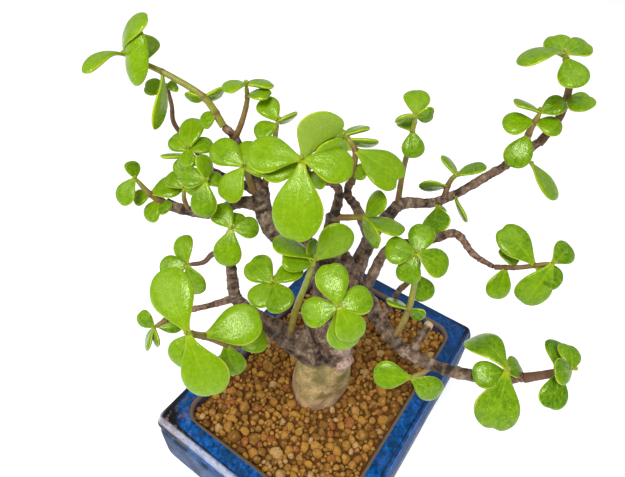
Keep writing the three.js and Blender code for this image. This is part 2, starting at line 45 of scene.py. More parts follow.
MM = 0.001
POT_LENGTH = 132
POT_WIDTH = 95
POT_HEIGHT = 48
LIP_WIDTH = 9.5
LIP_DEPTH = 8
LIP_CORNER = 3
MOUTH_CORNER = 7
GROOVE_DEPTH = 3
GROOVE_HEIGHT = 2
BELLY = 1  # how far the body bulges past the rim's length and width
BELLY_FOOT = 22  # and the height that it runs in from
BODY_CORNER = (9, 4)  # at the body's foot and at its top
BASE_INSET = 10
WALL = 7
FLOOR_THICKNESS = 6
FOOT_HEIGHT = 5
FOOT_SIZE = (22, 13)
FOOT_INSET = 17
DRAIN_SPACING = 52
DRAIN_RADIUS = 6
SOIL_DEPTH = 6
SOIL_RELIEF = 0.8
PLANT_TURN = math.radians(-58)
LIGHT = np.array([-0.1, -0.62, 0.78])  # where the leaves turn their faces
LIGHT_PULL = 0.75  # how far: 0 is along the twig, 1 is right at the light
LEAF_THICKNESS = 2.1
LEAF_BEND = 22

HALF_LENGTH = POT_LENGTH / 2
HALF_WIDTH = POT_WIDTH / 2
FLOOR_TOP = FOOT_HEIGHT + FLOOR_THICKNESS
BODY_TOP = POT_HEIGHT - LIP_DEPTH - GROOVE_HEIGHT
SOIL_TOP = POT_HEIGHT - SOIL_DEPTH

# The plant's own frame: x to its right, y to its back, z up from the pot's lip.
# Each limb: its points from the thick end, each with the wood's radius there.
LIMBS = {
    "trunk": [(-5, -6, -22, 9), (-5, -6, -8, 13), (-4, -6, 4, 12.5), (-3, -5, 20, 12),
        (-1, -3, 36, 11), (-1, 2, 50, 10), (-2, 5, 61, 9), (-3, 6, 69, 7)],
    "left_limb": [(-2, -6, 22, 8), (-12, -8, 28, 7), (-28, -5, 36, 3.9), (-38, -2, 42, 2.9),
        (-43, 0, 49, 2.5), (-44, 2, 62, 2.2), (-45, 4, 72, 2)],
    "left_twig": [(-43, 0, 47, 1.6), (-54, -2, 43, 1.3), (-63, -4, 41, 1.2), (-71, -7, 38, 1.1)],
    "crown_limb": [(-3, 5, 60, 6), (-12, 8, 70, 4.7), (-26, 10, 76, 4.1), (-32, 12, 86, 3.7),
        (-33, 13, 96, 2.8)],
    "brown_branch": [(-31, 12, 88, 2.8), (-41, 13, 88, 2.3), (-52, 14, 81, 2.1), (-62, 15, 80, 2.1),
        (-71, 15, 83, 2.3)],
    "grey_branch": [(-33, 13, 93, 2), (-42, 15, 96, 1.6), (-50, 17, 98, 1.4), (-57, 18, 102, 1.3)],
    "tall_branch": [(-33, 13, 93, 2.5), (-38, 17, 104, 1.9), (-43, 20, 112, 1.6),
        (-47, 21, 116, 1.5)],
    "apex_limb": [(-3, 6, 62, 5), (-5, 6, 78, 3.2), (-5, 7, 90, 2.7)],
    "apex_left": [(-5, 7, 88, 2.2), (-4, 6, 98, 1.7), (-5, 3, 106, 1.5), (-9, -2, 112, 1.4),
        (-14, -5, 116, 1.4)],
    "apex_right": [(11, 16, 72, 2.2), (4, 13, 89, 1.8), (0, 9, 97, 1.6), (-1, 8, 102, 1.5),
        (0, 7, 106, 1.4)],
    "back_limb": [(-1, 3, 50, 6), (5, 9, 54, 4.4), (9, 14, 64, 3.3), (12, 16, 75, 2.8),
        (17, 18, 83, 2.5), (22, 20, 88, 2.3), (34, 23, 87, 1.9), (42, 25, 90, 1.8),
        (52, 28, 96, 1.8), (60, 30, 102, 1.7), (71, 33, 112, 1.7)],
    "middle_limb": [(4, 1, 48, 4), (11, 4, 55, 2.4), (16, 8, 70, 1.9), (21, 8, 77, 1.7),
        (32, 5, 83, 1.6), (40, 3, 89, 1.6), (48, 0, 82, 1.2), (56, -3, 79, 1)],
    "right_limb": [(2, 1, 50, 6), (11, 0, 52, 3.8), (17, -10, 51, 2.9), (22, -19, 51, 2.6),
        (28, -25, 51, 2.4), (38, -31, 53, 2.2), (46, -35, 56, 2.1), (56, -39, 61, 1.8),
        (61, -42, 68, 1.5)],
    "cut_stub": [(28, -24, 51, 1.9), (32, -18, 53, 1.7), (36, -12, 55, 1.7)],
    "bare_twig": [(17, -10, 51, 1.6), (20, -8, 60, 1.4), (23, -6, 68, 1.2)],
}
# Each shoot: its points from the wood to its tip, the twig's radius at both ends, and its leaves as
# (place along the shoot, heading, rise, length, roll, bend, width factor). Angles are in degrees,
# and a leaf with the usual roll, bend and width leaves them out.
SHOOTS = {
    "apex": ([(-14, -5, 115), (-16, -8, 120), (-17, -10, 125)], (1.4, 1), [
        (1, 178, 8, 17), (1, -8, 2, 16), (0.95, 265, -45, 25), (0.95, 50, 60, 18, -130, 40, 1.15),
        (0.55, 6, 29, 15, 69), (0.55, 186, 8, 14), (0.15, -55, 18, 8, 35, 18, 0.85)]),
    "apex_right": ([(0, 7, 105), (0, 7, 112), (0, 7, 118), (-2, 10, 120),
        (-4, 12, 121)], (1.3, 0.8), [
        (0.55, -25, -15, 19, -14, 15, 1.25), (0.55, 150, 12, 14), (0.85, 7, -19, 11, 104, 15),
        (1, 43, 9, 10, -30, 15), (1, 205, 20, 8), (0.12, -48, 50, 7, 20, 22, 0.85)]),
    "inner": ([(-19, -7, 35), (-17, -9, 52), (-14, -12, 70), (-11, -13, 86)], (1.5, 1), [
        (1, 6, 48, 17, 48, 24, 1.05), (1, 165, 30, 16, 50, 24, 1.1), (0.94, 82, 62, 9, 60),
        (0.94, 200, 32, 12, 5, 26, 0.9)]),
    "fan": ([(-12, 6, 70), (-19, -5, 73), (-24, -14, 77), (-25, -18, 78)], (1.3, 0.9), [
        (1, 142, 16, 12.5, 18, 12, 1.15), (1, 35, 20, 12, -24, 17, 0.9),
        (0.96, -70, -4, 12, -7, 18, 1.1), (0.96, -126, -10, 11, 12, 15)]),
    "front_left": ([(-29, -5, 37), (-34, -20, 45), (-37, -33, 60), (-42, -43, 78),
        (-46, -50, 89)], (1.6, 1), [
        (1, 130, 42, 20.5), (1, -58, -44, 21), (0.82, 12, 22, 18.5), (0.96, 232, -40, 11),
        (0.6, -61, -43, 12), (0.45, 14, 14, 11)]),
    "front": ([(-1, -5, 38), (-1, -20, 62), (-3, -34, 84), (-3, -40, 94)], (1.5, 1), [
        (1, 113, 45, 13.5), (1, -40, -41, 12.5), (0.97, 191, -12, 11.5), (0.97, 17, 18, 11),
        (0.82, -60, -48, 14)]),
    "low_right": ([(36, -29, 52), (32, -31, 49), (28, -32, 47)], (1.1, 0.9), [
        (1, 185, 5, 14), (1, -21, -21, 14)]),
    "right_front": ([(56, -39, 61), (55, -41, 66), (54, -42, 71)], (1.4, 1.1), [
        (1, 260, -47, 22), (1, 120, 25, 19, 20, 80), (0.8, 190, 0, 11), (0.8, 35, -10, 9.5)]),
    "right_end": ([(61, -42, 67), (67, -44, 74), (71, -45, 78)], (1.6, 1), [
        (0.65, 75, 15, 12), (0.65, 255, -25, 12), (1, 80, 20, 9), (1, 215, 30, 9)]),
    "right_middle": ([(22, -18, 51), (25, -16, 66), (25, -14, 80), (23, -13, 93)], (1.3, 1), [
        (1, 180, 6, 10.5, 0, 22, 1.15), (1, -14, -14, 13), (0.97, 72, 45, 11.5),
        (0.97, 243, -44, 10.5), (0.84, 125, 10, 9), (0.35, 160, 20, 9, 60),
        (0.35, -30, -15, 6.5, 60)]),
    "bare_twig_tip": ([(23, -6, 67), (25, -7, 72), (27, -8, 77)], (1.2, 0.8), [
        (1, -52, -38, 10.5), (1, 120, 25, 8)]),
    "back_hanging": ([(37, 24, 87), (37, 22, 86), (36, 20, 87)], (1.1, 0.9), [
        (1, 256, -4, 14, 35, 15, 1.15), (0.9, 60, -20, 7)]),
    "centre": ([(-5, 7, 89), (1, 3, 93), (6, 0, 96)], (1.3, 1), [
        (1, 16, 65, 11, -55, 10, 1.15), (1, -35, 10, 15, -42, 10), (0.9, -70, -12, 13, 84, 15)]),
    "back_tall": ([(20, 20, 88), (20, 22, 100), (20, 21, 115), (20, 20, 126)], (1.2, 0.8), [
        (1, 88, 30, 12), (1, 182, -8, 7.5, 70), (1, 0, 4, 6.5, 70), (0.8, -80, -40, 9.5),
        (0.8, 110, 15, 8)]),
    "back_fork": ([(39, 25, 89), (40, 28, 92), (41, 28, 96), (42, 27, 98)], (1.2, 0.9), [
        (0.34, 201, -2, 12, -100, 30), (1, 114, 21, 10.5, 45, 10), (1, 21, 23, 12, -52, 10)]),
    "back_drop": ([(46, 26, 93), (45, 25, 91), (43, 24, 90)], (1, 0.8), [
        (1, -84, -18, 12, 87)]),
    "far_round": ([(66, 32, 107), (65, 31, 117), (66, 31, 125)], (1.4, 1), [
        (0.45, 240, -40, 13.5), (0.75, 186, 0, 11.5), (0.75, -20, 5, 10), (1, 165, 25, 10.5, 45),
        (1, 0, 40, 9)]),
    "far_hanging": ([(66, 31, 107), (68, 30, 106), (69, 29, 105)], (1, 0.8), [
        (1, -51, -21, 17, -40, 15)]),
    "far_tall": ([(71, 33, 111), (76, 36, 122), (74, 35, 135), (67, 32, 146)], (1.7, 1), [
        (1, 186, 22, 17, 50, 70), (1, 30, 20, 11), (0.95, 110, 30, 11), (0.95, -85, -10, 13),
        (0.5, -20, 10, 8), (0.5, -68, 20, 11)]),
    "middle_end": ([(56, -3, 79), (64, -6, 83), (72, -9, 89)], (1, 0.8), [
        (0.2, 255, -45, 12.5), (0.35, 95, 20, 9), (0.72, 140, 33, 18), (0.72, -34, -10, 11),
        (1, 230, -52, 18), (1, 38, 20, 11)]),
    "tall_side": ([(-43, 20, 112), (-40, 20, 119), (-38, 20, 127), (-38, 20, 133)], (1.2, 0.7), [
        (1, 220, 28, 9, 35, 60), (1, 26, 0, 9.5, -30, 15), (0.75, -14, 37, 9, -35, 50)]),
    "crown_side": ([(-32, 14, 95), (-29, 15, 109), (-27, 15, 123)], (1.4, 0.8), [
        (1, 142, 40, 9.5), (1, 43, -12, 8.5, 105, 15), (0.95, 200, -15, 8.5)]),
    "tall": ([(-47, 21, 116), (-53, 23, 125), (-64, 25, 131), (-73, 27, 134),
        (-80, 27, 137)], (1.4, 0.8), [
        (1, -120, 34, 19, 0, 70, 0.5), (1, -80, 75, 18, -20, 75, 0.8),
        (0.98, -76, 22, 13.5, 46, 80, 1.8), (0.8, 90, 38, 12, 31),
        (0.6, -76, -53, 20, -97, 30, 0.6), (0.27, 41, -9, 9, 110, 15), (0.27, 171, -18, 7, -95, 15),
        (0.12, 205, -30, 7)]),
    "grey_tip": ([(-57, 18, 101), (-59, 18, 104), (-60, 18, 107)], (1.3, 1), [
        (1, 88, 42, 13), (1, 272, -20, 8), (0.9, 150, 22, 9.5), (0.9, 30, 16, 9.5),
        (0.4, 176, 10, 12, 60), (0.4, 218, -22, 9)]),
    "grey_side": ([(-52, 18, 99), (-60, 25, 103), (-67, 28, 111), (-67, 28, 119),
        (-68, 29, 125)], (1.1, 0.7), [
        (1, 185, 8, 8.5), (1, 20, 20, 4)]),
    "crown_front": ([(-35, 12, 94), (-37, 10, 102), (-38, 8, 108)], (1.4, 1), [
        (1, 155, 26, 14.5), (1, 227, -39, 14), (0.95, 82, 40, 11), (0.95, 10, 5, 9)]),
    "brown_up": ([(-51, 14, 81), (-52, 9, 93), (-51, 5, 103)], (1.3, 0.9), [
        (1, 262, -45, 13), (1, 95, 60, 9.5, 60), (1, 180, 15, 9), (0.9, 45, 10, 7)]),
    "brown_end": ([(-71, 15, 83), (-76, 14, 88), (-80, 13, 96)], (1.6, 0.8), [
        (1, 230, -35, 11.5), (1, 110, 60, 6.5, 60), (0.5, 20, 22, 13), (0.5, 200, -10, 7),
        (0.22, 235, -36, 9.5), (0.12, 300, 0, 6)]),
    "brown_side": ([(-62, 15, 80), (-63, 14, 87), (-62, 13, 93)], (1, 0.8), [
        (1, 150, 30, 8.5), (1, -10, 20, 7)]),
    "left_top": ([(-45, 4, 71), (-44, 3, 80), (-42, 0, 86)], (2, 1), [
        (1, 140, 36, 11), (1, 258, -45, 14.5), (1, 10, 5, 10), (0.95, 80, 20, 8)]),
    "left_side": ([(-45, 4, 70), (-51, 3, 69), (-55, 2, 65), (-61, 0, 65)], (1.3, 0.8), [
        (1, 118, 38, 12.5), (1, -60, -45, 13), (0.96, 196, 0, 12)]),
    "left_low": ([(-71, -7, 38), (-74, -9, 37), (-76, -10, 36)], (1.2, 0.8), [
        (1, 160, 30, 9), (1, 235, -40, 10.5, 40), (1, -80, -30, 8.5, 40), (0.8, 15, 5, 11.5)]),
}
# How woody each shoot's twig is at its wood end and at its tip: 0 is green, 1 is old bark.
TWIG_AGE = {
    "left_side": (1.0, 0.8), "grey_side": (0.75, 0.55), "tall_side": (0.6, 0.3),
    "middle_end": (0.7, 0.35), "far_tall": (0.8, 0.35), "far_round": (0.7, 0.3),
    "front_left": (0.75, 0.25), "tall": (0.2, 0.25), "right_end": (0.8, 0.4),
    "right_front": (0.6, 0.2), "inner": (0.35, 0.0), "right_middle": (0.4, 0.05),
    "back_tall": (0.5, 0.1),
}
USUAL_AGE = (0.6, 0.15)

# ---- numbers ----

HASH = np.array([73856093, 19349663, 83492791])  # large primes that scramble a cell's place


def smooth_step(value, low, high):
    """A smooth change from 0 to 1 while the value goes from low to high."""
    part = np.clip((value - low) / (high - low), 0, 1)
    return part * part * (3 - 2 * part)


def hump(value, reach):
    """1 where the value is 0, and fading to nothing about twice `reach` away from there."""
    return np.exp(-((value / reach) ** 2))


def value_noise(points, size, seed):
    """Smooth noise from -1 to 1 with lumps about `size` across, the same in every run."""
    place = np.asarray(points, float) / size
    cell = np.floor(place).astype(np.int64)
    part = place - cell
    part = part * part * (3 - 2 * part)
    total = np.zeros(len(place))
    for corner in product((0, 1), repeat=3):
        code = np.bitwise_xor.reduce((cell + corner) * HASH, axis=1) ^ (seed * 7919)
        code = ((code ^ (code >> 15)) & 0x7FFFFFFF) * 2246822519
        code = (code ^ (code >> 13)) & 0xFFFF
        total += np.prod(np.where(corner, part, 1 - part), axis=1) * code / 0xFFFF
    return 2 * total - 1


def unit(vectors):
    return vectors / np.linalg.norm(vectors, axis=-1, keepdims=True)


def spline(points, places):
    """Points on the smooth curve through `points`, and its ways there, at places 0 to 1."""
    pts = np.asarray(points, float)
    scaled = np.asarray(places, float) * (len(pts) - 1)
    span = np.minimum(scaled.astype(int), len(pts) - 2)
    w = (scaled - span)[:, None]
    padded = np.vstack([2 * pts[0] - pts[1], pts, 2 * pts[-1] - pts[-2]])
    p0, p1, p2, p3 = (padded[span + k] for k in range(4))
    m1, m2 = (p2 - p0) / 2, (p3 - p1) / 2
    a, b = 3 * (p2 - p1) - 2 * m1 - m2, 2 * (p1 - p2) + m1 + m2
    return p1 + m1 * w + a * w**2 + b * w**3, unit(m1 + 2 * a * w + 3 * b * w**2)


def along_curve(points, step):
    """Stations along a limb or twig: place, centre, way and two directions across it."""
    pts = np.asarray(points, float)
    length = np.linalg.norm(np.diff(pts, axis=0), axis=1).sum()
    places = np.linspace(0, 1, max(6, round(length / step)) + 1)
    centres, ways = spline(pts, places)
    sides = np.empty_like(ways)
    side = np.array([0, 1, 0.2])
    for i, way in enumerate(ways):
        side = side - side.dot(way) * way
        side = sides[i] = side / np.linalg.norm(side)
    return places, centres, ways, sides, np.cross(ways, sides)


def round_turn(count):
    return np.linspace(0, 2 * math.pi, count, endpoint=False)


def tube_rings(centres, sides, ups, reach, angle):
    """A ring of points round each centre, `reach` away at each angle."""
    across, above = (reach * np.cos(angle))[..., None], (reach * np.sin(angle))[..., None]
    return (centres[:, None] + sides[:, None] * across + ups[:, None] * above).reshape(-1, 3)


def radius_at(radii, places):
    return np.interp(places, np.linspace(0, 1, len(radii)), radii)


def to_row(points):
    """From the plant's own frame to the row's."""
    cos, sin = math.cos(PLANT_TURN), math.sin(PLANT_TURN)
    x, y, z = np.asarray(points, float).T
    return np.stack([cos * x - sin * y, sin * x + cos * y, z + POT_HEIGHT], axis=1)


# ---- meshes ----


class Skin:
    """Points in millimetres, faces, and one number a point for each named attribute."""

    def __init__(self):
        self.points, self.faces, self.slots, self.values, self.count = [], [], [], {}, 0

    def add(self, points, faces, slot=0, **values):
        self.points.append(points)
        self.faces += [[i + self.count for i in face] for face in faces]
        self.slots += [slot] * len(faces)
        for name, value in values.items():
            spread = np.broadcast_to(np.asarray(value, float), (len(points),))
            self.values.setdefault(name, []).append((self.count, spread))
        self.count += len(points)

    def build(self, name, materials=(), turned=False):
        """The finished object, turned from the plant's frame to the row's if asked."""
        points = np.vstack(self.points)
        mesh = bpy.data.meshes.new(name)
        mesh.from_pydata(((to_row(points) if turned else points) * MM).tolist(), [], self.faces)
        for material in materials:
            mesh.materials.append(material)
        mesh.polygons.foreach_set("material_index", self.slots)
        for key, parts in self.values.items():
            whole = np.zeros(self.count)
            for start, spread in parts:
                whole[start : start + len(spread)] = spread
            set_values(mesh, **{key: whole})
        mesh.shade_smooth()
        mesh.validate()
        return place_object(name, mesh)


def set_values(mesh, **values):
    """Gives the mesh's points one number each under each name."""
    for name, numbers in values.items():
        layer = mesh.attributes.new(name, "FLOAT", "POINT")
        layer.data.foreach_set("value", np.asarray(numbers, np.float32))


def place_object(name, content):
    thing = bpy.data.objects.new(name, content)
    bpy.context.scene.collection.objects.link(thing)
    return thing


def loft_faces(rings, around, tip=False):
    """Faces of a closed skin of `rings` rings, whose last one may run into a single tip point."""
    near = np.arange(rings * around).reshape(rings, around)
    far = np.roll(near, -1, axis=1)
    sides = np.stack([near[:-1], far[:-1], far[1:], near[1:]], axis=-1).reshape(-1, 4)
    if tip:
        end = [[a, b, near.size] for a, b in zip(near[-1].tolist(), far[-1].tolist())]
    else:
        end = [near[-1].tolist()]
    return [*sides.tolist(), near[0, ::-1].tolist(), *end]


def read_points(collection, key):
    numbers = np.empty(3 * len(collection), np.float32)
    collection.foreach_get(key, numbers)
    return numbers.reshape(-1, 3).astype(float)


def points_and_normals(mesh):
    return read_points(mesh.vertices, "co") / MM, read_points(mesh.vertex_normals, "vector")


def move_points(mesh, points):
    mesh.vertices.foreach_set("co", (points * MM).ravel())


def dress(mesh, material):
    """Gives a mesh whose points were moved its material and smooth shading."""
    mesh.materials.append(material)
    mesh.shade_smooth()
    mesh.update()


def evaluated(thing):
    """The thing's mesh with its modifiers applied, as the thing's only mesh."""
    graph = bpy.context.evaluated_depsgraph_get()
    mesh = bpy.data.meshes.new_from_object(thing.evaluated_get(graph))
    thing.modifiers.clear()
    thing.data = mesh
    return mesh


# ---- materials ----


def new_material(name, **fixed):
    """A material with these values on its shader, and the socket that tells its nodes the place."""
    material = bpy.data.materials.new(name)
    material.use_nodes = True
    place = add_node(material.node_tree, "TexCoord").outputs["Object"]
    return finish(material, **fixed), place


def add_node(tree, kind, inputs=(), **settings):
    """A new node with its settings made and its inputs filled, by name or by number."""
    node = tree.nodes.new("ShaderNode" + kind)
    for key, value in settings.items():
        setattr(node, key, value)
    for key, value in dict(inputs).items():
        fill(node.inputs[key], value)
    return node


def fill(socket, value):
    """Links the socket to another one, or sets it where the value is a number or a colour."""
    if isinstance(value, bpy.types.NodeSocket):
        socket.id_data.links.new(value, socket)
    elif isinstance(value, tuple) and len(value) == 3 and socket.type == "RGBA":
        socket.default_value = (*value, 1)
    else:
        socket.default_value = value


def finish(material, **sockets):
    shader = material.node_tree.nodes["Principled BSDF"]
    for socket, value in sockets.items():
        fill(shader.inputs[socket.replace("_", " ")], value)
    return material


def tree_of(*values):
    """The node tree that the first socket among the values stands in."""
    return next(value.id_data for value in values if isinstance(value, bpy.types.NodeSocket))


def attributes(place, *names):
    """The numbers that the mesh's points hold under these names."""
    nodes = (add_node(place.id_data, "Attribute", attribute_name=name) for name in names)
    return [node.outputs["Fac"] for node in nodes]


def calc(operation, a, b=0.0):
    return add_node(tree_of(a, b), "Math", {0: a, 1: b}, operation=operation).outputs[0]


def plus(a, b):
    return calc("ADD", a, b)


def times(a, b):
    return calc("MULTIPLY", a, b)


def swing(value, by, amount):
    """The value, swung up and down by a noise that goes from 0 to 1."""
    return plus(value, times(calc("SUBTRACT", by, 0.5), amount))


def fade(value, low, high, first=0.0, last=1.0):
    """A smooth change from `first` to `last` while the value goes from low to high."""
    inputs = dict(enumerate((value, low, high, first, last)))
    return add_node(tree_of(value), "MapRange", inputs, interpolation_type="SMOOTHSTEP").outputs[0]


def mix(part, a, b):
    return add_node(tree_of(part, a, b), "Mix", {0: part, 6: a, 7: b}, data_type="RGBA").outputs[2]


def over(base, colour, value, low, high, most=1.0):
    """The colour over the base, from none at all to `most` as the value goes low to high."""
    return mix(fade(value, low, high, 0.0, most), base, colour)


def noise(place, size, detail=2.0, rough=0.55):
    """Noise with lumps about `size` millimetres across."""
    inputs = {"Vector": place, "Scale": 1 / (size * MM), "Detail": detail, "Roughness": rough}
    return add_node(place.id_data, "TexNoise", inputs).outputs[0]


def cells(place, size):
    """The distance from the middle of the nearest of many cells about `size` across."""
    inputs = {"Vector": place, "Scale": 1 / (size * MM)}
    return add_node(place.id_data, "TexVoronoi", inputs).outputs["Distance"]


def bump(height, depth, strength=1.0, under=None):
    """Relief `depth` deep where the height goes from 0 to 1, on top of the one under it."""
    inputs = {"Strength": strength, "Distance": depth * MM, "Height": height}
    if under is not None:
        inputs["Normal"] = under
    return add_node(height.id_data, "Bump", inputs).outputs[0]


def leaf_paint():
    material, place = new_material(
        "leaf_skin", Coat_Weight=0.36, Coat_Roughness=0.12, Specular_IOR_Level=0.3,
        Specular_Tint=(0.75, 1, 0.1), Subsurface_Weight=0.1, Subsurface_Scale=0.001,
        Subsurface_Radius=(0.6, 1.0, 0.1))
    tone, margin, under = attributes(place, "tone", "margin", "under")
    across, along, length = attributes(place, "across", "along", "length")
    # The tone holds each leaf's own green, with painted shade on low leaves and on the plant's
    # right.
    shade = swing(tone, noise(place, 6, 3), 1.3)
    green = mix(fade(shade, 0, 1), (0.155, 0.295, 0.0), (0.04, 0.135, 0.001))
    green = over(green, (0.25, 0.41, 0.002), noise(place, 1.3, 3), 0.38, 0.62, 0.3)
    # Faint pale veins fan out from the stalk, on both sides of a paler middle line that is partly
    # the midrib and partly painted reflection.
    inputs = {0: times(across, 3.2), 1: times(length, 0.16), 2: times(tone, 40.0)}
    plan = add_node(place.id_data, "CombineXYZ", inputs).outputs[0]
    vein = add_node(place.id_data, "TexNoise", {"Vector": plan, "Scale": 1.0}).outputs[0]
    off_vein = calc("ABSOLUTE", calc("SUBTRACT", vein, 0.5))
    green = over(green, (0.30, 0.45, 0.02), off_vein, 0.035, 0.005, 0.25)
    middle = fade(calc("ABSOLUTE", across), 0.09, 0, 0, 0.5)
    middle = times(middle, fade(along, 0.8, 0.2))
    green = mix(middle, green, (0.32, 0.46, 0.02))
    # The stalk end and the thin outer line are paler and yellower.
    green = over(green, (0.32, 0.40, 0.01), along, 0.2, 0, 0.65)
    line = fade(plus(margin, times(noise(place, 1.5), 0.15)), 0.29, 0.12)
    green = mix(times(line, 0.75), green, (0.48, 0.53, 0.02))
    # Fine pale specks, thicker in some places than in others.
    size = times(fade(noise(place, 2.5, 3), 0.42, 0.66), 0.2)
    speck = fade(calc("SUBTRACT", cells(place, 0.9), size), 0.05, -0.06, 0, 0.6)
    green = mix(speck, green, (0.48, 0.62, 0.16))
    # The underside is paler and duller.
    dull = mix(fade(shade, 0, 1), (0.23, 0.35, 0.02), (0.08, 0.18, 0.012))
    dull = over(dull, (0.34, 0.46, 0.06), noise(place, 0.7, 3), 0.4, 0.66, 0.4)
    dull = mix(speck, dull, (0.45, 0.56, 0.15))
    green = mix(times(under, 0.85), green, dull)
    rough = fade(noise(place, 2.2, 3), 0.3, 0.7, 0.24, 0.36)
    rough = plus(rough, times(under, 0.14))
    relief = bump(cells(place, 0.42), 0.05, 0.8)
    relief = bump(noise(place, 0.9, 3), 0.11, 0.8, relief)
    relief = bump(noise(place, 3.8, 2), 0.35, 0.6, relief)
    return finish(material, Base_Color=green, Roughness=rough, Normal=relief, Coat_Normal=relief)


def twig_paint():
    material, place = new_material("twig_skin")
    age, ring = attributes(place, "age", "ring")
    tint = swing(age, noise(place, 2.5, 3), 0.5)
    fine = noise(place, 0.8, 3)
    skin = mix(fade(tint, 0.05, 0.45), (0.25, 0.30, 0.012), (0.21, 0.12, 0.025))
    skin = over(skin, (0.12, 0.05, 0.026), tint, 0.4, 0.75)
    skin = over(skin, (0.085, 0.058, 0.045), tint, 0.8, 1.05)
    skin = over(skin, (0.32, 0.24, 0.09), fine, 0.55, 0.75, 0.4)
    skin = mix(times(ring, 0.75), skin, (0.11, 0.035, 0.016))
    rough = fade(age, 0.1, 0.8, 0.38, 0.7)
    return finish(material, Base_Color=skin, Roughness=rough, Normal=bump(fine, 0.14, 0.7))


def bark_paint():
    material, place = new_material("bark_skin", Specular_IOR_Level=0.35)
    ridge, young, ring = attributes(place, "ridge", "young", "ring")
    stump, moss, foot = attributes(place, "stump", "moss", "foot")
    pale, cut, hollow = attributes(place, "pale", "cut", "hollow")
    patches = noise(place, 6, 4)
    fine = noise(place, 1.3, 4, rough=0.6)
    # Ridges are paler and the furrows between them darker. Young wood is redder.
    height = swing(swing(ridge, fine, 1.5), patches, 0.7)
    bark = mix(fade(height, 0.18, 0.52), (0.024, 0.013, 0.008), (0.125, 0.076, 0.047))
    bark = over(bark, (0.33, 0.24, 0.17), height, 0.58, 0.86, 0.85)
    red = mix(fade(height, 0.25, 0.8), (0.045, 0.018, 0.010), (0.27, 0.145, 0.085))
    bark = mix(times(young, 0.85), bark, red)
    bark = mix(times(ring, 0.35), bark, (0.36, 0.27, 0.19))
    # The stump is smooth and olive, mossy round its middle and pale pinkish at its foot.
    skin = mix(fade(patches, 0.34, 0.66), (0.55, 0.39, 0.165), (0.255, 0.20, 0.062))
    skin = over(skin, (0.56, 0.40, 0.22), noise(place, 3, 3), 0.52, 0.68, 0.75)
    skin = over(skin, (0.16, 0.11, 0.045), fine, 0.50, 0.34, 0.6)
    skin = mix(times(moss, 0.65), skin, (0.135, 0.128, 0.036))
    skin = mix(times(foot, 0.75), skin, (0.62, 0.41, 0.25))
    bark = mix(stump, bark, skin)
    # Torn flesh is pinkish and sawn wood is straw-coloured. Hollows and creases get painted black
    # shade.
    flesh = mix(fade(fine, 0.35, 0.65), (0.36, 0.20, 0.16), (0.62, 0.46, 0.39))
    bark = mix(times(pale, 0.85), bark, flesh)
    bark = mix(cut, bark, mix(fine, (0.34, 0.25, 0.12), (0.70, 0.58, 0.33)))
    bark = mix(hollow, bark, (0.014, 0.009, 0.007))
    relief = bump(fine, 0.6, 0.9)
    relief = bump(noise(place, 0.45, 3), 0.14, 0.8, relief)
    rough = fade(noise(place, 3, 2), 0.3, 0.7, 0.62, 0.85)
    return finish(material, Base_Color=bark, Roughness=rough, Normal=relief)


def glaze_paint():
    material, place = new_material("glaze", Coat_Roughness=0.07, Specular_IOR_Level=0.12)
    rim, edge, blotch, inner = attributes(place, "rim", "edge", "blotch", "inner")
    side, far, bare, dull = attributes(place, "side", "far", "bare", "dull")
    clouds = noise(place, 9, 4, rough=0.6)
    fine = noise(place, 2.1, 5, rough=0.7)
    blue = mix(fade(fine, 0.36, 0.60), (0.001, 0.022, 0.10), (0.002, 0.10, 0.39))
    blue = over(blue, (0.02, 0.26, 0.68), fine, 0.57, 0.74)
    blue = over(blue, (0.001, 0.03, 0.08), clouds, 0.54, 0.34, 0.8)
    blue = mix(times(far, 0.55), blue, (0.003, 0.035, 0.14))
    # The body under the lip is greyer.
    cast = swing(clouds, fine, 0.5)
    body = mix(fade(cast, 0.37, 0.63), (0.014, 0.036, 0.09), (0.065, 0.12, 0.26))
    body = over(body, (0.02, 0.025, 0.05), fine, 0.58, 0.74, 0.45)
    blue = mix(side, blue, body)
    blue = over(blue, (0.008, 0.008, 0.010), swing(rim, clouds, 0.9), 0.45, 0.75)
    # A painted reflection lies pale along the lip's outer edge, and pinkish patches of painted
    # reflection lie on its corners.
    squeezed = add_node(place.id_data, "Mapping", {"Vector": place, "Scale": (1, 1, 4)}).outputs[0]
    streaks = fade(noise(squeezed, 2.5, 3), 0.3, 0.6, 0.35, 1)
    blue = mix(times(edge, streaks), blue, (0.38, 0.40, 0.50))
    # Painted reflection: pinkish patches on the lip's corners, most on the left one.
    thin = times(blotch, fade(noise(place, 4, 2), 0.50, 0.62, 0, 0.7))
    blue = mix(thin, blue, (0.20, 0.13, 0.13))
    blue = over(blue, (0.14, 0.10, 0.07), swing(inner, fine, 0.7), 0.5, 0.8)
    clay = mix(fine, (0.10, 0.045, 0.025), (0.20, 0.10, 0.055))
    rough = plus(fade(bare, 0.3, 0.7, 0.16, 0.8), times(dull, 0.4))
    relief = bump(fine, 0.12, 0.3, bump(clouds, 0.5, 0.35))
    coat = fade(dull, 0, 1, 0.38, 0.03)
    return finish(material, Base_Color=mix(bare, blue, clay), Roughness=rough, Normal=relief,
                  Coat_Weight=coat)


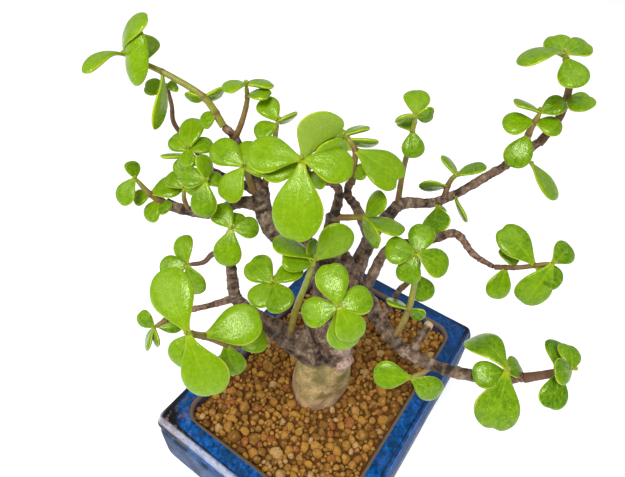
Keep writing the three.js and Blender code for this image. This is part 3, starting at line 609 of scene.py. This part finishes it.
def granule_paint(name, in_shade):
    material, place = new_material(name, Specular_IOR_Level=0.2)
    tone, hue = attributes(place, "tone", "hue")
    fine = noise(place, 0.9, 4, rough=0.7)
    clay = mix(fade(tone, 0.1, 0.9), (0.185, 0.079, 0.012), (0.45, 0.22, 0.037))
    clay = over(clay, (0.50, 0.31, 0.12), hue, 0.86, 0.96)
    clay = over(clay, (0.33, 0.11, 0.025), hue, 0.12, 0.04)
    clay = over(clay, (0.16, 0.062, 0.012), fine, 0.55, 0.3, 0.6)
    clay = over(clay, (0.58, 0.34, 0.10), noise(place, 1.8, 2), 0.5, 0.7, 0.45)
    # The soil under the granules is painted darker, as the shade between them.
    if in_shade:
        clay = mix(0.8, clay, (0.12, 0.050, 0.009))
    relief = bump(noise(place, 0.35, 2), 0.08, 0.6, bump(fine, 0.35, 0.8))
    rough = fade(fine, 0.3, 0.7, 0.8, 0.95)
    return finish(material, Base_Color=clay, Roughness=rough, Normal=relief)


def screen_paint():
    material, place = new_material("screen_plastic")
    wear = noise(place, 1.5, 3)
    black = mix(fade(wear, 0.4, 0.7), (0.012, 0.012, 0.014), (0.035, 0.035, 0.038))
    rough = fade(wear, 0.3, 0.7, 0.42, 0.6)
    return finish(material, Base_Color=black, Roughness=rough, Normal=bump(wear, 0.05, 0.5))


def floor_paint():
    material, place = new_material("floor_sheet", Roughness=0.75, Emission_Color=(1, 1, 1),
                                   Emission_Strength=0.36)
    white = mix(noise(place, 300), (0.95, 0.95, 0.95), (0.97, 0.97, 0.97))
    return finish(material, Base_Color=white)


# ---- wood ----

# Marks on the bark in the plant's frame: place, reach, height (or depth, when below zero) and
# what shows there: pale torn flesh, or black painted shade in a hollow.
MARKS = [
    ((5.5, -14, 26), 5.2, 1.1, "pale"),
    ((4, -14, 36), 5.0, 0.5, "pale"),
    ((-6.4, -13.6, 30.8), 1.5, -1.2, "hollow"),
    ((-4.7, -14.4, 28.6), 1.9, -1.9, "hollow"),
    ((-2.8, -15.3, 27.1), 1.5, -1.1, "hollow"),
    ((-7, -15, 27), 3.5, 1.2, None),
    ((7, -8, 36), 4.0, 1.3, None),
    ((-5, -11, 42), 3.5, 1.2, None),
    ((8, -5, 48), 2.4, -1.0, "hollow"),
    ((-3, -1, 68), 5.0, -2.6, "hollow"),
    ((-9, 0, 60), 3.0, 1.0, None),
    ((-28, 5, 81), 2.6, 0.9, None),
    ((4, 10, 52), 3.4, 1.0, None),
    ((-12, -12, 32), 2.2, -0.7, "hollow"),
    ((-6, 4, 80), 2.2, 0.8, None),
    ((-10, 14, 30), 4.0, 1.0, None),
    ((6, 8, 24), 3.5, -1.2, "hollow"),
]
STUMP_RIM = 26.5  # height of the rim where the smooth stump ends and the old bark begins
CUT_END = (36, -12, 55)  # the sawn face of the cut stub
LIMB_STEP = 1.2  # between the rings of a limb's tube
LIMB_AROUND = 28
STATION_STEP = 0.8
BATCH = 4000  # points looked up at a time
WOOD_VOXEL = 0.56


def limb_tube(limb):
    """A limb's plain tube, with a slightly lobed section."""
    places, centres, _, sides, ups = along_curve([p[:3] for p in limb], LIMB_STEP)
    radii = radius_at([p[3] for p in limb], places)[:, None]
    angle, z = round_turn(LIMB_AROUND), centres[:, 2:3]
    lobes = 1 + 0.06 * np.sin(3 * angle + z / 9) + 0.04 * np.sin(5 * angle - z / 5)
    points = tube_rings(centres, sides, ups, radii * lobes, angle)
    return points, loft_faces(len(places), LIMB_AROUND)


def limb_stations():
    """Closely spaced stations on every limb: centre, way, radius, length along it, and limb."""
    rows = []
    for index, limb in enumerate(LIMBS.values()):
        places, centres, ways, _, _ = along_curve([p[:3] for p in limb], STATION_STEP)
        steps = np.linalg.norm(np.diff(centres, axis=0), axis=1)
        radii = radius_at([p[3] for p in limb], places)
        lengths = np.append(0, np.cumsum(steps))
        rows.append(np.column_stack([centres, ways, radii, lengths, np.full(len(places), index)]))
    return np.vstack(rows)


def nearest_stations(points, stations):
    """The station whose wood surface each point lies nearest to."""
    best = np.empty(len(points), int)
    centres, radii = stations[:, :3], stations[:, 6]
    for start in range(0, len(points), BATCH):
        part = points[start : start + BATCH]
        square = (part**2).sum(1)[:, None] + (centres**2).sum(1) - 2 * part @ centres.T
        best[start : start + BATCH] = np.argmin(np.sqrt(np.maximum(square, 0)) - radii, axis=1)
    return best


def joined_limbs():
    """All the limbs, grown together into one smooth skin."""
    skin = Skin()
    for limb in LIMBS.values():
        skin.add(*limb_tube(limb))
    wood = skin.build("wood")
    join = wood.modifiers.new("one_skin", "REMESH")
    join.mode, join.voxel_size = "VOXEL", WOOD_VOXEL * MM
    soften = wood.modifiers.new("soften", "SMOOTH")
    soften.factor, soften.iterations = 0.5, 5
    return wood, evaluated(wood)


def make_wood():
    wood, mesh = joined_limbs()
    points, normals = points_and_normals(mesh)
    stations = limb_stations()
    at = stations[nearest_stations(points, stations)]
    centre, way, radius, limb = at[:, :3], at[:, 3:6], at[:, 6], at[:, 8]
    along = at[:, 7] + ((points - centre) * way).sum(1)
    z = points[:, 2]
    thin = smooth_step(radius, 4.5, 2.4)
    trunk = smooth_step(radius, 7, 9)
    rim = STUMP_RIM + 2.2 * value_noise(points * (1, 1, 0.2), 7, 3)
    stump = trunk * smooth_step(z, rim + 0.8, rim - 0.8)

    # Rings of old leaf scars stand round the limbs, and the bark between them is wrinkled.
    pitch = 4.2 + 0.5 * radius
    turn = along / pitch + 0.18 * value_noise(points, 2.5, 5) + 0.37 * limb
    ring = hump((turn % 1) - 0.5, 0.14) * (1 - trunk)
    flow = points - 0.7 * way * along[:, None]
    furrows, grain = value_noise(flow, 2.2, 7), value_noise(flow, 0.95, 9)
    lift = ring * (0.16 + 0.03 * radius)
    lift += 0.42 * furrows * (1 - 0.45 * thin) * (1 - 0.6 * stump)
    lift += 0.15 * grain * (1 - 0.5 * stump)
    # The trunk is knobbly. Its bark swells along the stump's rim and is drawn in just above.
    knobs = 0.55 * value_noise(points, 5.5, 11) + 0.30 * value_noise(points, 2.6, 13)
    lift += trunk * knobs * (1 - 0.5 * stump)
    lift += 0.45 * stump * value_noise(points, 3.4, 19)
    drawn_in = 0.5 * (1 - stump) * smooth_step(z, rim + 9, rim + 1)
    lift += trunk * (0.9 * hump(z - rim, 1.3) - drawn_in)
    shown = {"hollow": np.zeros(len(points)), "pale": np.zeros(len(points))}
    ragged = 1 + 0.3 * value_noise(points, 1.6, 17)
    for place, reach, height, kind in MARKS:
        swell = hump(np.linalg.norm(points - place, axis=1), reach)
        lift += height * swell * ragged
        if kind:
            shown[kind] = np.maximum(shown[kind], smooth_step(swell, 0.35, 0.8))
    move_points(mesh, to_row(points + normals * lift[:, None]))

    crease = smooth_step(furrows, -0.35, -0.8)
    worn = z + 3 * value_noise(points, 4, 21)
    set_values(
        mesh,
        ridge=0.5 + 0.4 * furrows + 0.15 * grain,
        ring=ring,
        young=smooth_step(radius, 2.3, 1.3),
        stump=stump,
        moss=smooth_step(worn, 5, 13) * smooth_step(value_noise(points, 5, 23), -0.3, 0.4),
        foot=smooth_step(worn, 4, -1),
        pale=shown["pale"],
        # Painted shade: black in the hollows and fainter in the bark's creases.
        hollow=np.maximum(shown["hollow"], 0.35 * crease * (1 - stump)),
        cut=smooth_step(np.linalg.norm(points - CUT_END, axis=1), 3.2, 2.3),
    )
    dress(mesh, bark_paint())
    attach(wood, "root")
    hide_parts("trunk_and_branches")


# ---- leaves ----

WIDEST = 0.63  # the place along a leaf where it is widest
LEAF_INNER, LEAF_OUTER = 9, 11  # sections from the stalk to there, and on to the tip
LEAF_AROUND = 22
USUAL_LEAF = (0, LEAF_BEND, 1)  # roll, bend and width factor, where a leaf's row stops short
TWIG_STEP = 0.7
TWIG_AROUND = 14
SCAR_PITCH = 5.5  # from one old leaf scar to the next
TIP_AGE = 0.1
CROWN_TOP = 120
# Leaves with a clearly notched tip, by shoot and number, and how deep the notch is.
NOTCHES = {
    ("apex", 2): 0.5,
    ("apex_right", 0): 1.6,
    ("right_front", 0): 0.9,
    ("middle_end", 2): 0.8,
    ("fan", 0): 0.6,
    ("front", 0): 0.5,
}


def leaf_outline(t, length):
    """Half the width as a share of the widest: long leaves narrow more towards the stalk."""
    taper = min(1.75, 0.6 + 0.055 * length)
    inner = 0.13 + 0.87 * np.sin(np.pi / 2 * np.minimum(t / WIDEST, 1)) ** taper
    outer = (1 - np.maximum(0, (t - WIDEST) / (1 - WIDEST)) ** 2.2) ** (1 / 2.2)
    return np.where(t > WIDEST, outer, inner)


def leaf_frame(axis, heading, rise, roll):
    """The leaf's directions: along it, out of its face, which turns to the light, and across."""
    level = math.cos(rise)
    way = np.array([level * math.cos(heading), level * math.sin(heading), math.sin(rise)])
    face = axis * (1 - LIGHT_PULL) + LIGHT * LIGHT_PULL
    face = unit(face - face.dot(way) * way)
    face = face * math.cos(roll) + np.cross(way, face) * math.sin(roll)
    return way, face, np.cross(face, way)


def leaf_mesh(root, axis, leaf, rng, notch=0.0, plump=1.0):
    """A fleshy leaf: its points, faces and values."""
    _, heading, rise, length, roll, bend, wide = (*leaf, *USUAL_LEAF[len(leaf) - 4 :])
    way, face, side = leaf_frame(axis, *(math.radians(a) for a in (heading, rise, roll)))
    half = wide * (3.5 + 0.5 * length) / 2

    inner = np.linspace(0, WIDEST, LEAF_INNER, endpoint=False)
    sweep = np.linspace(0, np.pi / 2, LEAF_OUTER + 1)
    t = np.concatenate([inner, WIDEST + (1 - WIDEST) * np.sin(sweep)])[:-1, None]
    outline = leaf_outline(t, length)
    blunt = np.sqrt(1 - np.clip((t - 0.8) / 0.2, 0, 1) ** 3)
    thick = plump * LEAF_THICKNESS / 2 * (0.45 + 0.55 * outline) * blunt
    angle = 2 * np.pi * np.arange(LEAF_AROUND) / LEAF_AROUND
    across, above = np.cos(angle), np.sin(angle) >= 0
    section = np.where(above, (1 - np.abs(across) ** 5) ** 0.6, (1 - np.abs(across) ** 3) ** 0.62)

    cup = rng.uniform(0.04, 0.12)
    fold = rng.uniform(0.08, 0.18)
    lean = rng.uniform(-0.05, 0.05)
    groove = rng.uniform(0.15, 0.35)
    wave, phase = rng.uniform(0, 0.03) * length, rng.uniform(0, 6)
    x = half * outline * across
    x = x * (1 + 0.04 * np.sin(phase + 4 * t) * np.sign(across))
    y = length * t - notch * hump(x, 0.16 * half + 0.5) * smooth_step(t, 0.8, 1)
    up = np.where(above, 0.8, -1.2) * thick * section
    up = up - above * groove * hump(x, 0.25 * half) * (1 - t) ** 0.7 * outline
    up = up + fold * np.abs(x) * (1 - t) - cup * x**2 / half + lean * x * t
    up = up + wave * np.sin(phase + 7 * t + 1.5 * np.sign(across)) * across**2 * t

    # The leaf bends back along an arc.
    total = math.radians(bend)
    bow = length / total
    turned = (total * y / length)[..., None]
    normal = face * np.cos(turned) + way * np.sin(turned)
    middle = way * (bow * np.sin(turned)) + face * (bow * (np.cos(turned) - 1))
    rings = root + middle + side * x[..., None] + normal * up[..., None]
    end = length - notch
    last = total * end / length
    tip = root + way * bow * math.sin(last) + face * bow * (math.cos(last) - 1)
    points = np.vstack([rings.reshape(-1, 3), tip])

    rim_x, rim_y = np.append(half * outline, 0), np.append(length * t, end)
    away = np.hypot(np.abs(x)[..., None] - rim_x, y[..., None] - rim_y).min(-1)
    margin = np.minimum(away, half * outline * (1 - np.abs(across)) * 1.02 + 0.02)
    under = smooth_step(np.sin(angle), 0.05, -0.25)
    spreads = {"margin": (margin, 0), "under": (under, 0.5), "along": (t, 1),
               "across": (across, 0), "length": (y, length)}
    values = {name: np.append(np.broadcast_to(spread, x.shape), at_tip)
              for name, (spread, at_tip) in spreads.items()}
    return points, loft_faces(len(t), LEAF_AROUND, tip=True), values


def twig_mesh(points, radii, leaf_places, ages):
    """A twig, swollen where its leaves stand and, less so, where others have dropped off."""
    places, centres, ways, sides, ups = along_curve(points, TWIG_STEP)
    length = np.linalg.norm(np.diff(centres, axis=0), axis=1).sum()
    joints = np.array(sorted(set(leaf_places)))
    scars = np.arange(0.06, joints.min(), SCAR_PITCH / length)
    strength = np.repeat((1, 0.35), (len(joints), len(scars)))
    off_ring = (places[:, None] - np.append(joints, scars)) * length
    ring = (strength * hump(off_ring, 0.7)).max(1)
    girth = radius_at(radii, places) * (1 + 0.16 * ring)
    girth = girth * (1 - 0.4 * smooth_step(places, 1 - 2.5 / length, 1))
    angle = round_turn(TWIG_AROUND)
    reach = girth[:, None] * (1 + 0.05 * np.sin(3 * angle + 9 * places[:, None]))
    rings = tube_rings(centres, sides, ups, reach, angle)
    tip = centres[-1] + ways[-1] * 0.7 * radii[1]
    age = ages[0] + (ages[1] - ages[0]) * places
    age = age + (TIP_AGE - age) * 0.8 * smooth_step(places, 1 - 2 / length, 1)
    ring = ring * smooth_step(places, 1, 1 - 2 / length)
    values = {"age": np.append(np.repeat(age, TWIG_AROUND), TIP_AGE),
              "ring": np.append(np.repeat(ring, TWIG_AROUND), 0.1)}
    return np.vstack([rings, tip]), loft_faces(len(places), TWIG_AROUND, tip=True), values


def make_shoot(name, skins, rng):
    points, radii, leaves = SHOOTS[name]
    skin = Skin()
    for index, leaf in enumerate(leaves):
        (root,), (axis,) = spline(points, [leaf[0]])
        notch = NOTCHES.get((name, index), rng.choice([0, 0, 0, 0.35]))
        verts, faces, values = leaf_mesh(root, axis, leaf, rng, notch)
        # Low leaves and those on the plant's right get painted shade,
        # and small ones are a deeper green.
        height = root[2] / CROWN_TOP
        tone = 0.58 - 0.45 * height - 0.03 * (leaf[3] - 12) + rng.uniform(-0.22, 0.22)
        tone += 0.32 * smooth_step(root[0], 0, 45)
        skin.add(verts, faces, tone=tone, **values)
    # Two buds stand at the tip.
    (tip,), (axis,) = spline(points, [1])
    for turn in (90, 270):
        bud = (1, leaves[0][1] + turn, 55, rng.uniform(1.1, 1.7), 0, 10, 0.3)
        place = tip + axis * radii[1] * 0.6
        verts, faces, _ = leaf_mesh(place, axis, bud, rng, plump=0.4)
        skin.add(verts, faces, slot=1, age=TIP_AGE, ring=0)
    ages = TWIG_AGE.get(name, USUAL_AGE)
    verts, faces, values = twig_mesh(points, radii, [leaf[0] for leaf in leaves], ages)
    skin.add(verts, faces, slot=1, **values)
    thing = skin.build("leafy_" + name, skins, turned=True)
    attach(thing, "root")
    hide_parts("shoot_" + name)


# ---- pot ----

CORNER_STEPS = 10
SIDE_STEPS = (20, 14)  # along the pot's long and short sides
SUNK = 2  # how far the feet reach up into the floor
FOOT_ROUND = 1.2
CORNER_REACH = 9  # how far the glaze is worn round each corner
LEFT_REACH = 15  # and round the one that shows on the left in the photograph


def plan_ring(inset, radius, z):
    """A level rounded rectangle at this inset from the lip's edge, with points on its sides."""
    half_x, half_y = HALF_LENGTH - inset - radius, HALF_WIDTH - inset - radius
    arcs = []
    for quarter, (sign_x, sign_y) in enumerate([(1, 1), (-1, 1), (-1, -1), (1, -1)]):
        angle = np.radians(90 * quarter + np.linspace(0, 90, CORNER_STEPS + 1))
        arcs.append(np.column_stack([sign_x * half_x + radius * np.cos(angle),
                                     sign_y * half_y + radius * np.sin(angle)]))
    plan = []
    for quarter, arc in enumerate(arcs):
        share = np.linspace(0, 1, SIDE_STEPS[quarter % 2] + 1)[1:-1, None]
        plan += [arc, arc[-1] + (arcs[(quarter + 1) % 4][0] - arc[-1]) * share]
    plan = np.vstack(plan)
    return np.column_stack([plan, np.full(len(plan), z)])


def plan_inset(points, inset, radius):
    """How far each point lies inside the rounded rectangle at this inset, seen from above."""
    away = np.abs(points[:, :2]) - (HALF_LENGTH - inset - radius, HALF_WIDTH - inset - radius)
    outside = np.linalg.norm(np.maximum(away, 0), axis=1)
    return radius - outside - np.minimum(away.max(1), 0)


def body_inset(z):
    """The body bulges past the rim's size and runs in to the base."""
    down = max(0, BELLY_FOOT - z) / (BELLY_FOOT - FOOT_HEIGHT)
    return (BASE_INSET + BELLY) * down**2.2 - BELLY


def inner_inset(z):
    return max(LIP_WIDTH, body_inset(min(z, BODY_TOP)) + WALL)


def rounded_path(path, rounds):
    """The path with its corners cut off again and again, and its ends kept."""
    path = np.array(path, float)
    for _ in range(rounds):
        cut = np.empty((2 * len(path) - 2, path.shape[1]))
        cut[0::2] = 0.75 * path[:-1] + 0.25 * path[1:]
        cut[1::2] = 0.25 * path[:-1] + 0.75 * path[1:]
        path = np.vstack([path[:1], cut[1:-1], path[-1:]])
    return path


def pot_profile():
    """Each ring's inset, corner radius and height, from the base over the lip to the floor."""
    base = [(BASE_INSET + 1.2, 8, FOOT_HEIGHT), (BASE_INSET + 0.3, 9, FOOT_HEIGHT + 0.25)]
    heights = np.linspace(FOOT_HEIGHT + 0.8, BODY_TOP - 2.4, 30)
    corners = np.interp(heights, (FOOT_HEIGHT, BODY_TOP), BODY_CORNER)
    body = [(body_inset(z), corner, z) for z, corner in zip(heights, corners)]
    groove, under, top, mouth = BODY_TOP, POT_HEIGHT - LIP_DEPTH, POT_HEIGHT, LIP_WIDTH
    lip = rounded_path([
        (-BELLY, 4.3, groove - 2.4), (-0.9, 4.1, groove - 1.1), (-0.2, 4, groove - 0.1),
        (1.6, 4, groove + 0.1), (GROOVE_DEPTH, 3.5, groove + 0.3), (GROOVE_DEPTH, 3.5, under - 0.2),
        (0.9, 2.5, under), (-0.6, 3, under + 0.3), (-1, 3, under + 1.5), (-0.95, 3, under + 3),
        (-0.6, 3, under + 4.6), (-0.05, 3, top - 1.5), (0.3, 3, top - 0.4), (1.4, 3, top),
        (3.5, 3.5, top - 0.1), (mouth - 3, 5.8, top - 0.05), (mouth - 1.4, 6.4, top - 0.1),
        (mouth - 0.2, 6.9, top - 0.8), (mouth, 7, top - 2.5), (mouth, 7, top - 5),
    ], 2)
    heights = np.linspace(BODY_TOP - 2, FLOOR_TOP, 14)
    return [*base, *body[:-1], *lip, *((inner_inset(z), MOUTH_CORNER, z) for z in heights)]


def finished_mesh(name, form):
    mesh = bpy.data.meshes.new(name)
    form.to_mesh(mesh)
    form.free()
    return mesh


def foot(x, y):
    centre, size = Vector((x, y, (FOOT_HEIGHT + SUNK) / 2)), (*FOOT_SIZE, FOOT_HEIGHT + SUNK)
    form = bmesh.new()
    bmesh.ops.create_cube(form, size=1, matrix=Matrix.Translation(centre * MM)
                          @ Matrix.Diagonal((*(Vector(size) * MM), 1)))
    bmesh.ops.bevel(form, geom=form.edges, offset=FOOT_ROUND * MM, segments=4, profile=0.5,
                    affect="EDGES")
    return finished_mesh("foot", form)


def drain_plug(x):
    """What is cut out of the floor for a drainage hole."""
    radius, middle = DRAIN_RADIUS * MM, FOOT_HEIGHT + FLOOR_THICKNESS / 2
    form = bmesh.new()
    bmesh.ops.create_cone(form, segments=40, radius1=radius, radius2=radius, cap_ends=True,
                          depth=3 * FLOOR_THICKNESS * MM,
                          matrix=Matrix.Translation((x * MM, 0, middle * MM)))
    return finished_mesh("plug", form)


def combine(thing, mesh, operation):
    """Joins a helper solid to the thing, or cuts it away, and removes the helper."""
    helper = place_object(mesh.name, mesh)
    step = thing.modifiers.new(operation, "BOOLEAN")
    step.operation, step.object, step.solver = operation, helper, "EXACT"
    evaluated(thing)
    bpy.data.objects.remove(helper)


def pot_solid():
    """The pot with its four feet and two drainage holes."""
    skin = Skin()
    rings = [plan_ring(*row) for row in pot_profile()]
    skin.add(np.vstack(rings), loft_faces(len(rings), len(rings[0])))
    pot = skin.build("glazed_pot")
    foot_x = HALF_LENGTH - FOOT_INSET - FOOT_SIZE[0] / 2
    foot_y = HALF_WIDTH - FOOT_INSET - FOOT_SIZE[1] / 2
    for sign_x, sign_y in product((-1, 1), repeat=2):
        combine(pot, foot(sign_x * foot_x, sign_y * foot_y), "UNION")
    for sign in (-1, 1):
        combine(pot, drain_plug(sign * DRAIN_SPACING / 2), "DIFFERENCE")
    return pot


def make_pot():
    pot = pot_solid()
    mesh = pot.data
    points, normals = points_and_normals(mesh)
    x, y, z = points.T
    # Pressed by hand: the sides are a little uneven.
    uneven = 0.22 * value_noise(points, 24, 21) + 0.08 * value_noise(points, 8, 22)
    uneven *= smooth_step(z, FOOT_HEIGHT, FOOT_HEIGHT + 4)
    move_points(mesh, points + normals * uneven[:, None])

    deep = POT_HEIGHT - z
    inset = plan_inset(points, 0, LIP_CORNER)
    past_mouth = -plan_inset(points, LIP_WIDTH, MOUTH_CORNER)
    inside = smooth_step(past_mouth, 0.4, 0.1) * smooth_step(deep, 0, 0.8)
    outside = smooth_step(inset, LIP_WIDTH - 1, LIP_WIDTH - 2)
    lip = smooth_step(z, BODY_TOP, BODY_TOP + 2)
    corner = hump(abs(x) - HALF_LENGTH, CORNER_REACH) * hump(abs(y) - HALF_WIDTH, CORNER_REACH)
    left = hump(x + HALF_LENGTH, LEFT_REACH) * hump(y - HALF_WIDTH, LEFT_REACH)
    # The glaze is dark in a line on the lip's top, at its lower edge, down its side and at corners.
    line = hump(inset - 1.9, 0.8) * smooth_step(deep, 1, 0.5)
    lower = outside * hump(deep - LIP_DEPTH + 0.4, 1)
    face = outside * smooth_step(deep, 1.2, 2.4) * smooth_step(z, BODY_TOP, BODY_TOP + 1.6)
    dark = (0.4 * corner + 0.8 * left) * (0.25 + 0.75 * lip) + 0.4 * face
    # Painted reflection of the lamps: pale along the rounded top of the lip's side at -x.
    front = smooth_step(x, 5 - HALF_LENGTH, 2 - HALF_LENGTH)
    edge = front * smooth_step(inset, 1.7, 0.8) * smooth_step(deep, 4.5, 2)
    base = smooth_step(z, FOOT_HEIGHT + 2.6, FOOT_HEIGHT + 0.8)
    set_values(
        mesh,
        rim=np.clip(0.7 * line + lower + dark, 0, 1.3),
        edge=edge,
        dull=outside * smooth_step(deep, 0.5, 1.5) * (1 - edge),
        far=smooth_step(x, -30, 50),
        # where pinkish patches of painted reflection lie on the corners
        blotch=np.clip(left + 0.5 * corner, 0, 1) * lip,
        inner=smooth_step(past_mouth, 2.4, 1.4) * smooth_step(deep, 4, 1),
        side=outside * smooth_step(z, BODY_TOP + 1, BODY_TOP),
        bare=np.maximum(inside * smooth_step(deep, 3, 5), base),
    )
    dress(mesh, glaze_paint())
    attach(pot, "root")
    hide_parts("pot")


# ---- granules ----

GRANULES = ((2.4, 3.4, 70), (1.8, 2.5, 400), (0.9, 1.8, 1900))  # radii from, to, and how many
LARGE = 1.8  # the radius that the large granules start from
LUMP_KINDS = 14
TRIES = 40  # drops of a granule before it is left out
CLOSENESS = 0.84  # how near two granules come, as a share of their radii together
TRUNK_ROOM = 13.6  # granules stay this far from the trunk's middle
PILE = 2.6  # and come to rest no higher than this over the soil


def soil_height(x, y):
    return SOIL_TOP + SOIL_RELIEF * np.sin(x / 2.3 + y / 7) * np.cos(y / 2.9 - x / 11)


def lump_shapes(subdivisions, rng):
    """Rough rounded lumps of burnt clay, each about 1 in radius."""
    form = bmesh.new()
    bmesh.ops.create_icosphere(form, subdivisions=subdivisions, radius=1)
    points = np.array([v.co for v in form.verts])
    faces = np.array([[v.index for v in face.verts] for face in form.faces])
    form.free()
    shapes = []
    for _ in range(LUMP_KINDS):
        place = points + rng.uniform(0, 50, 3)
        swell = 0.30 * value_noise(place, 1.1, 31) + 0.13 * value_noise(place, 0.5, 32)
        shapes.append(points * (1 + swell)[:, None])
    return shapes, faces


def random_turn(rng):
    """A random turn about a random line."""
    w, x, y, z = unit(rng.normal(size=4))
    return np.array([
        [1 - 2 * (y * y + z * z), 2 * (x * y - z * w), 2 * (x * z + y * w)],
        [2 * (x * y + z * w), 1 - 2 * (x * x + z * z), 2 * (y * z - x * w)],
        [2 * (x * z - y * w), 2 * (y * z + x * w), 1 - 2 * (x * x + y * y)],
    ])


def dropped_places(radii, rng):
    """Where granules come to rest when they are dropped one by one on the soil."""
    trunk_foot, _ = spline([p[:3] for p in LIMBS["trunk"]], [0.16])
    trunk_x, trunk_y, _ = to_row(trunk_foot)[0]
    placed = np.empty((0, 4))
    for radius in radii:
        for _ in range(TRIES):
            x = rng.uniform(-1, 1) * (HALF_LENGTH - LIP_WIDTH - 0.85 * radius)
            y = rng.uniform(-1, 1) * (HALF_WIDTH - LIP_WIDTH - 0.85 * radius)
            if math.hypot(x - trunk_x, y - trunk_y) < TRUNK_ROOM + 0.6 * radius:
                continue
            rest = soil_height(x, y) + 0.25 * radius
            gap = (placed[:, 0] - x) ** 2 + (placed[:, 1] - y) ** 2
            reach = (CLOSENESS * (placed[:, 3] + radius)) ** 2
            near = gap < reach
            if near.any():
                rest = max(rest, (placed[near, 2] + np.sqrt((reach - gap)[near])).max())
            if rest - SOIL_TOP < PILE - 0.2 * radius:
                placed = np.vstack([placed, (x, y, rest, radius)])
                break
    return placed


def make_granules():
    rng = np.random.default_rng(45)
    placed = dropped_places(np.concatenate([rng.uniform(*row) for row in GRANULES]), rng)
    large = placed[:, 3] >= LARGE
    paint = granule_paint("granule_clay", in_shade=False)
    for name, group, subdivisions in (("granules_large", placed[large], 3),
                                      ("granules_small", placed[~large], 2)):
        shapes, faces = lump_shapes(subdivisions, rng)
        size, count = len(shapes[0]), len(group)
        turns = [random_turn(rng) for _ in group]
        scales = [(1, rng.uniform(0.72, 1), rng.uniform(0.62, 0.88)) for _ in group]
        points = np.vstack([
            (shapes[rng.integers(LUMP_KINDS)] * scale * row[3]) @ turn.T + row[:3]
            for row, turn, scale in zip(group, turns, scales)
        ])
        every = (faces[None] + size * np.arange(count)[:, None, None]).reshape(-1, 3)
        mesh = bpy.data.meshes.new(name)
        mesh.from_pydata((points * MM).tolist(), [], every.tolist())
        for key in ("tone", "hue"):
            set_values(mesh, **{key: np.repeat(rng.uniform(0, 1, count), size)})
        dress(mesh, paint)
        thing = place_object(name, mesh)
        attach(thing, "root")


def dress_kept_nodes():
    """The soil and the drain screens keep their CAD forms, with materials of their own."""
    # The soil shows between the granules and is painted darker as their shade.
    soil, screen = granule_paint("deep_soil", in_shade=True), screen_paint()
    for name, paint in (("soil", soil), ("drain_screen_1", screen), ("drain_screen_2", screen)):
        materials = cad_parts[name].data.materials
        materials.clear()
        materials.append(paint)


# ---- studio, in metres ----

FLOOR_HALF = 4
FLOOR_GAP = 0.0002  # the floor lies this far under the feet
# The photograph's viewpoint, in degrees: round from +Y, down from level and over to one side.
CAMERA_TURN, CAMERA_DOWN, CAMERA_ROLL = 57.71, 42.54, 4.02
CAMERA_PLACE = (-0.1216, -0.0623, 0.2569)
CAMERA_LENS, CAMERA_FILM = 28.77, 36  # in millimetres
CAMERA_NEAR = 0.01
# Each light's place, its sides and its power in watts.
LIGHTS = {
    "key": ((-0.62, -0.21, 1.05), (0.4, 0.32), 9.3),
    "side": ((-0.82, 0.43, 0.81), (0.9, 0.3), 3.0),
    "top": ((0.1, -0.1, 1.3), (0.8, 0.8), 2.6),
}
LIT_POINT = Vector((0, 0, 0.1))
SKY_STRENGTH = 0.43


def make_floor():
    form = bmesh.new()
    bmesh.ops.create_grid(form, x_segments=4, y_segments=4, size=FLOOR_HALF)
    mesh = finished_mesh("floor", form)
    mesh.materials.append(floor_paint())
    floor = place_object("floor", mesh)
    floor.location.z = -FLOOR_GAP


def make_lights():
    for name, (place, size, power) in LIGHTS.items():
        lamp = bpy.data.lights.new(name, "AREA")
        lamp.shape, lamp.size, lamp.size_y, lamp.energy = "RECTANGLE", *size, power
        light = place_object(name, lamp)
        light.location = place
        light.rotation_euler = (LIT_POINT - Vector(place)).to_track_quat("-Z", "Y").to_euler()
    world = bpy.data.worlds.new("studio")
    world.use_nodes = True
    sky = world.node_tree.nodes["Background"].inputs
    sky["Color"].default_value = (1, 1, 1, 1)
    sky["Strength"].default_value = SKY_STRENGTH
    bpy.context.scene.world = world
    bpy.context.scene.view_settings.view_transform = "Standard"


def make_camera():
    turn, down, roll = (math.radians(a) for a in (CAMERA_TURN, CAMERA_DOWN, CAMERA_ROLL))
    lens = bpy.data.cameras.new("camera")
    lens.sensor_width, lens.lens, lens.clip_start = CAMERA_FILM, CAMERA_LENS, CAMERA_NEAR
    camera = place_object("camera", lens)
    camera.matrix_world = (Matrix.Translation(CAMERA_PLACE) @ Matrix.Rotation(-turn, 4, "Z")
                           @ Matrix.Rotation(math.pi / 2 - down, 4, "X")
                           @ Matrix.Rotation(roll, 4, "Z"))
    bpy.context.scene.camera = camera


make_camera()
make_floor()
make_lights()
make_wood()
skins = [leaf_paint(), twig_paint()]
for number, name in enumerate(SHOOTS):
    make_shoot(name, skins, np.random.default_rng(100 + number))
make_pot()
make_granules()
dress_kept_nodes()
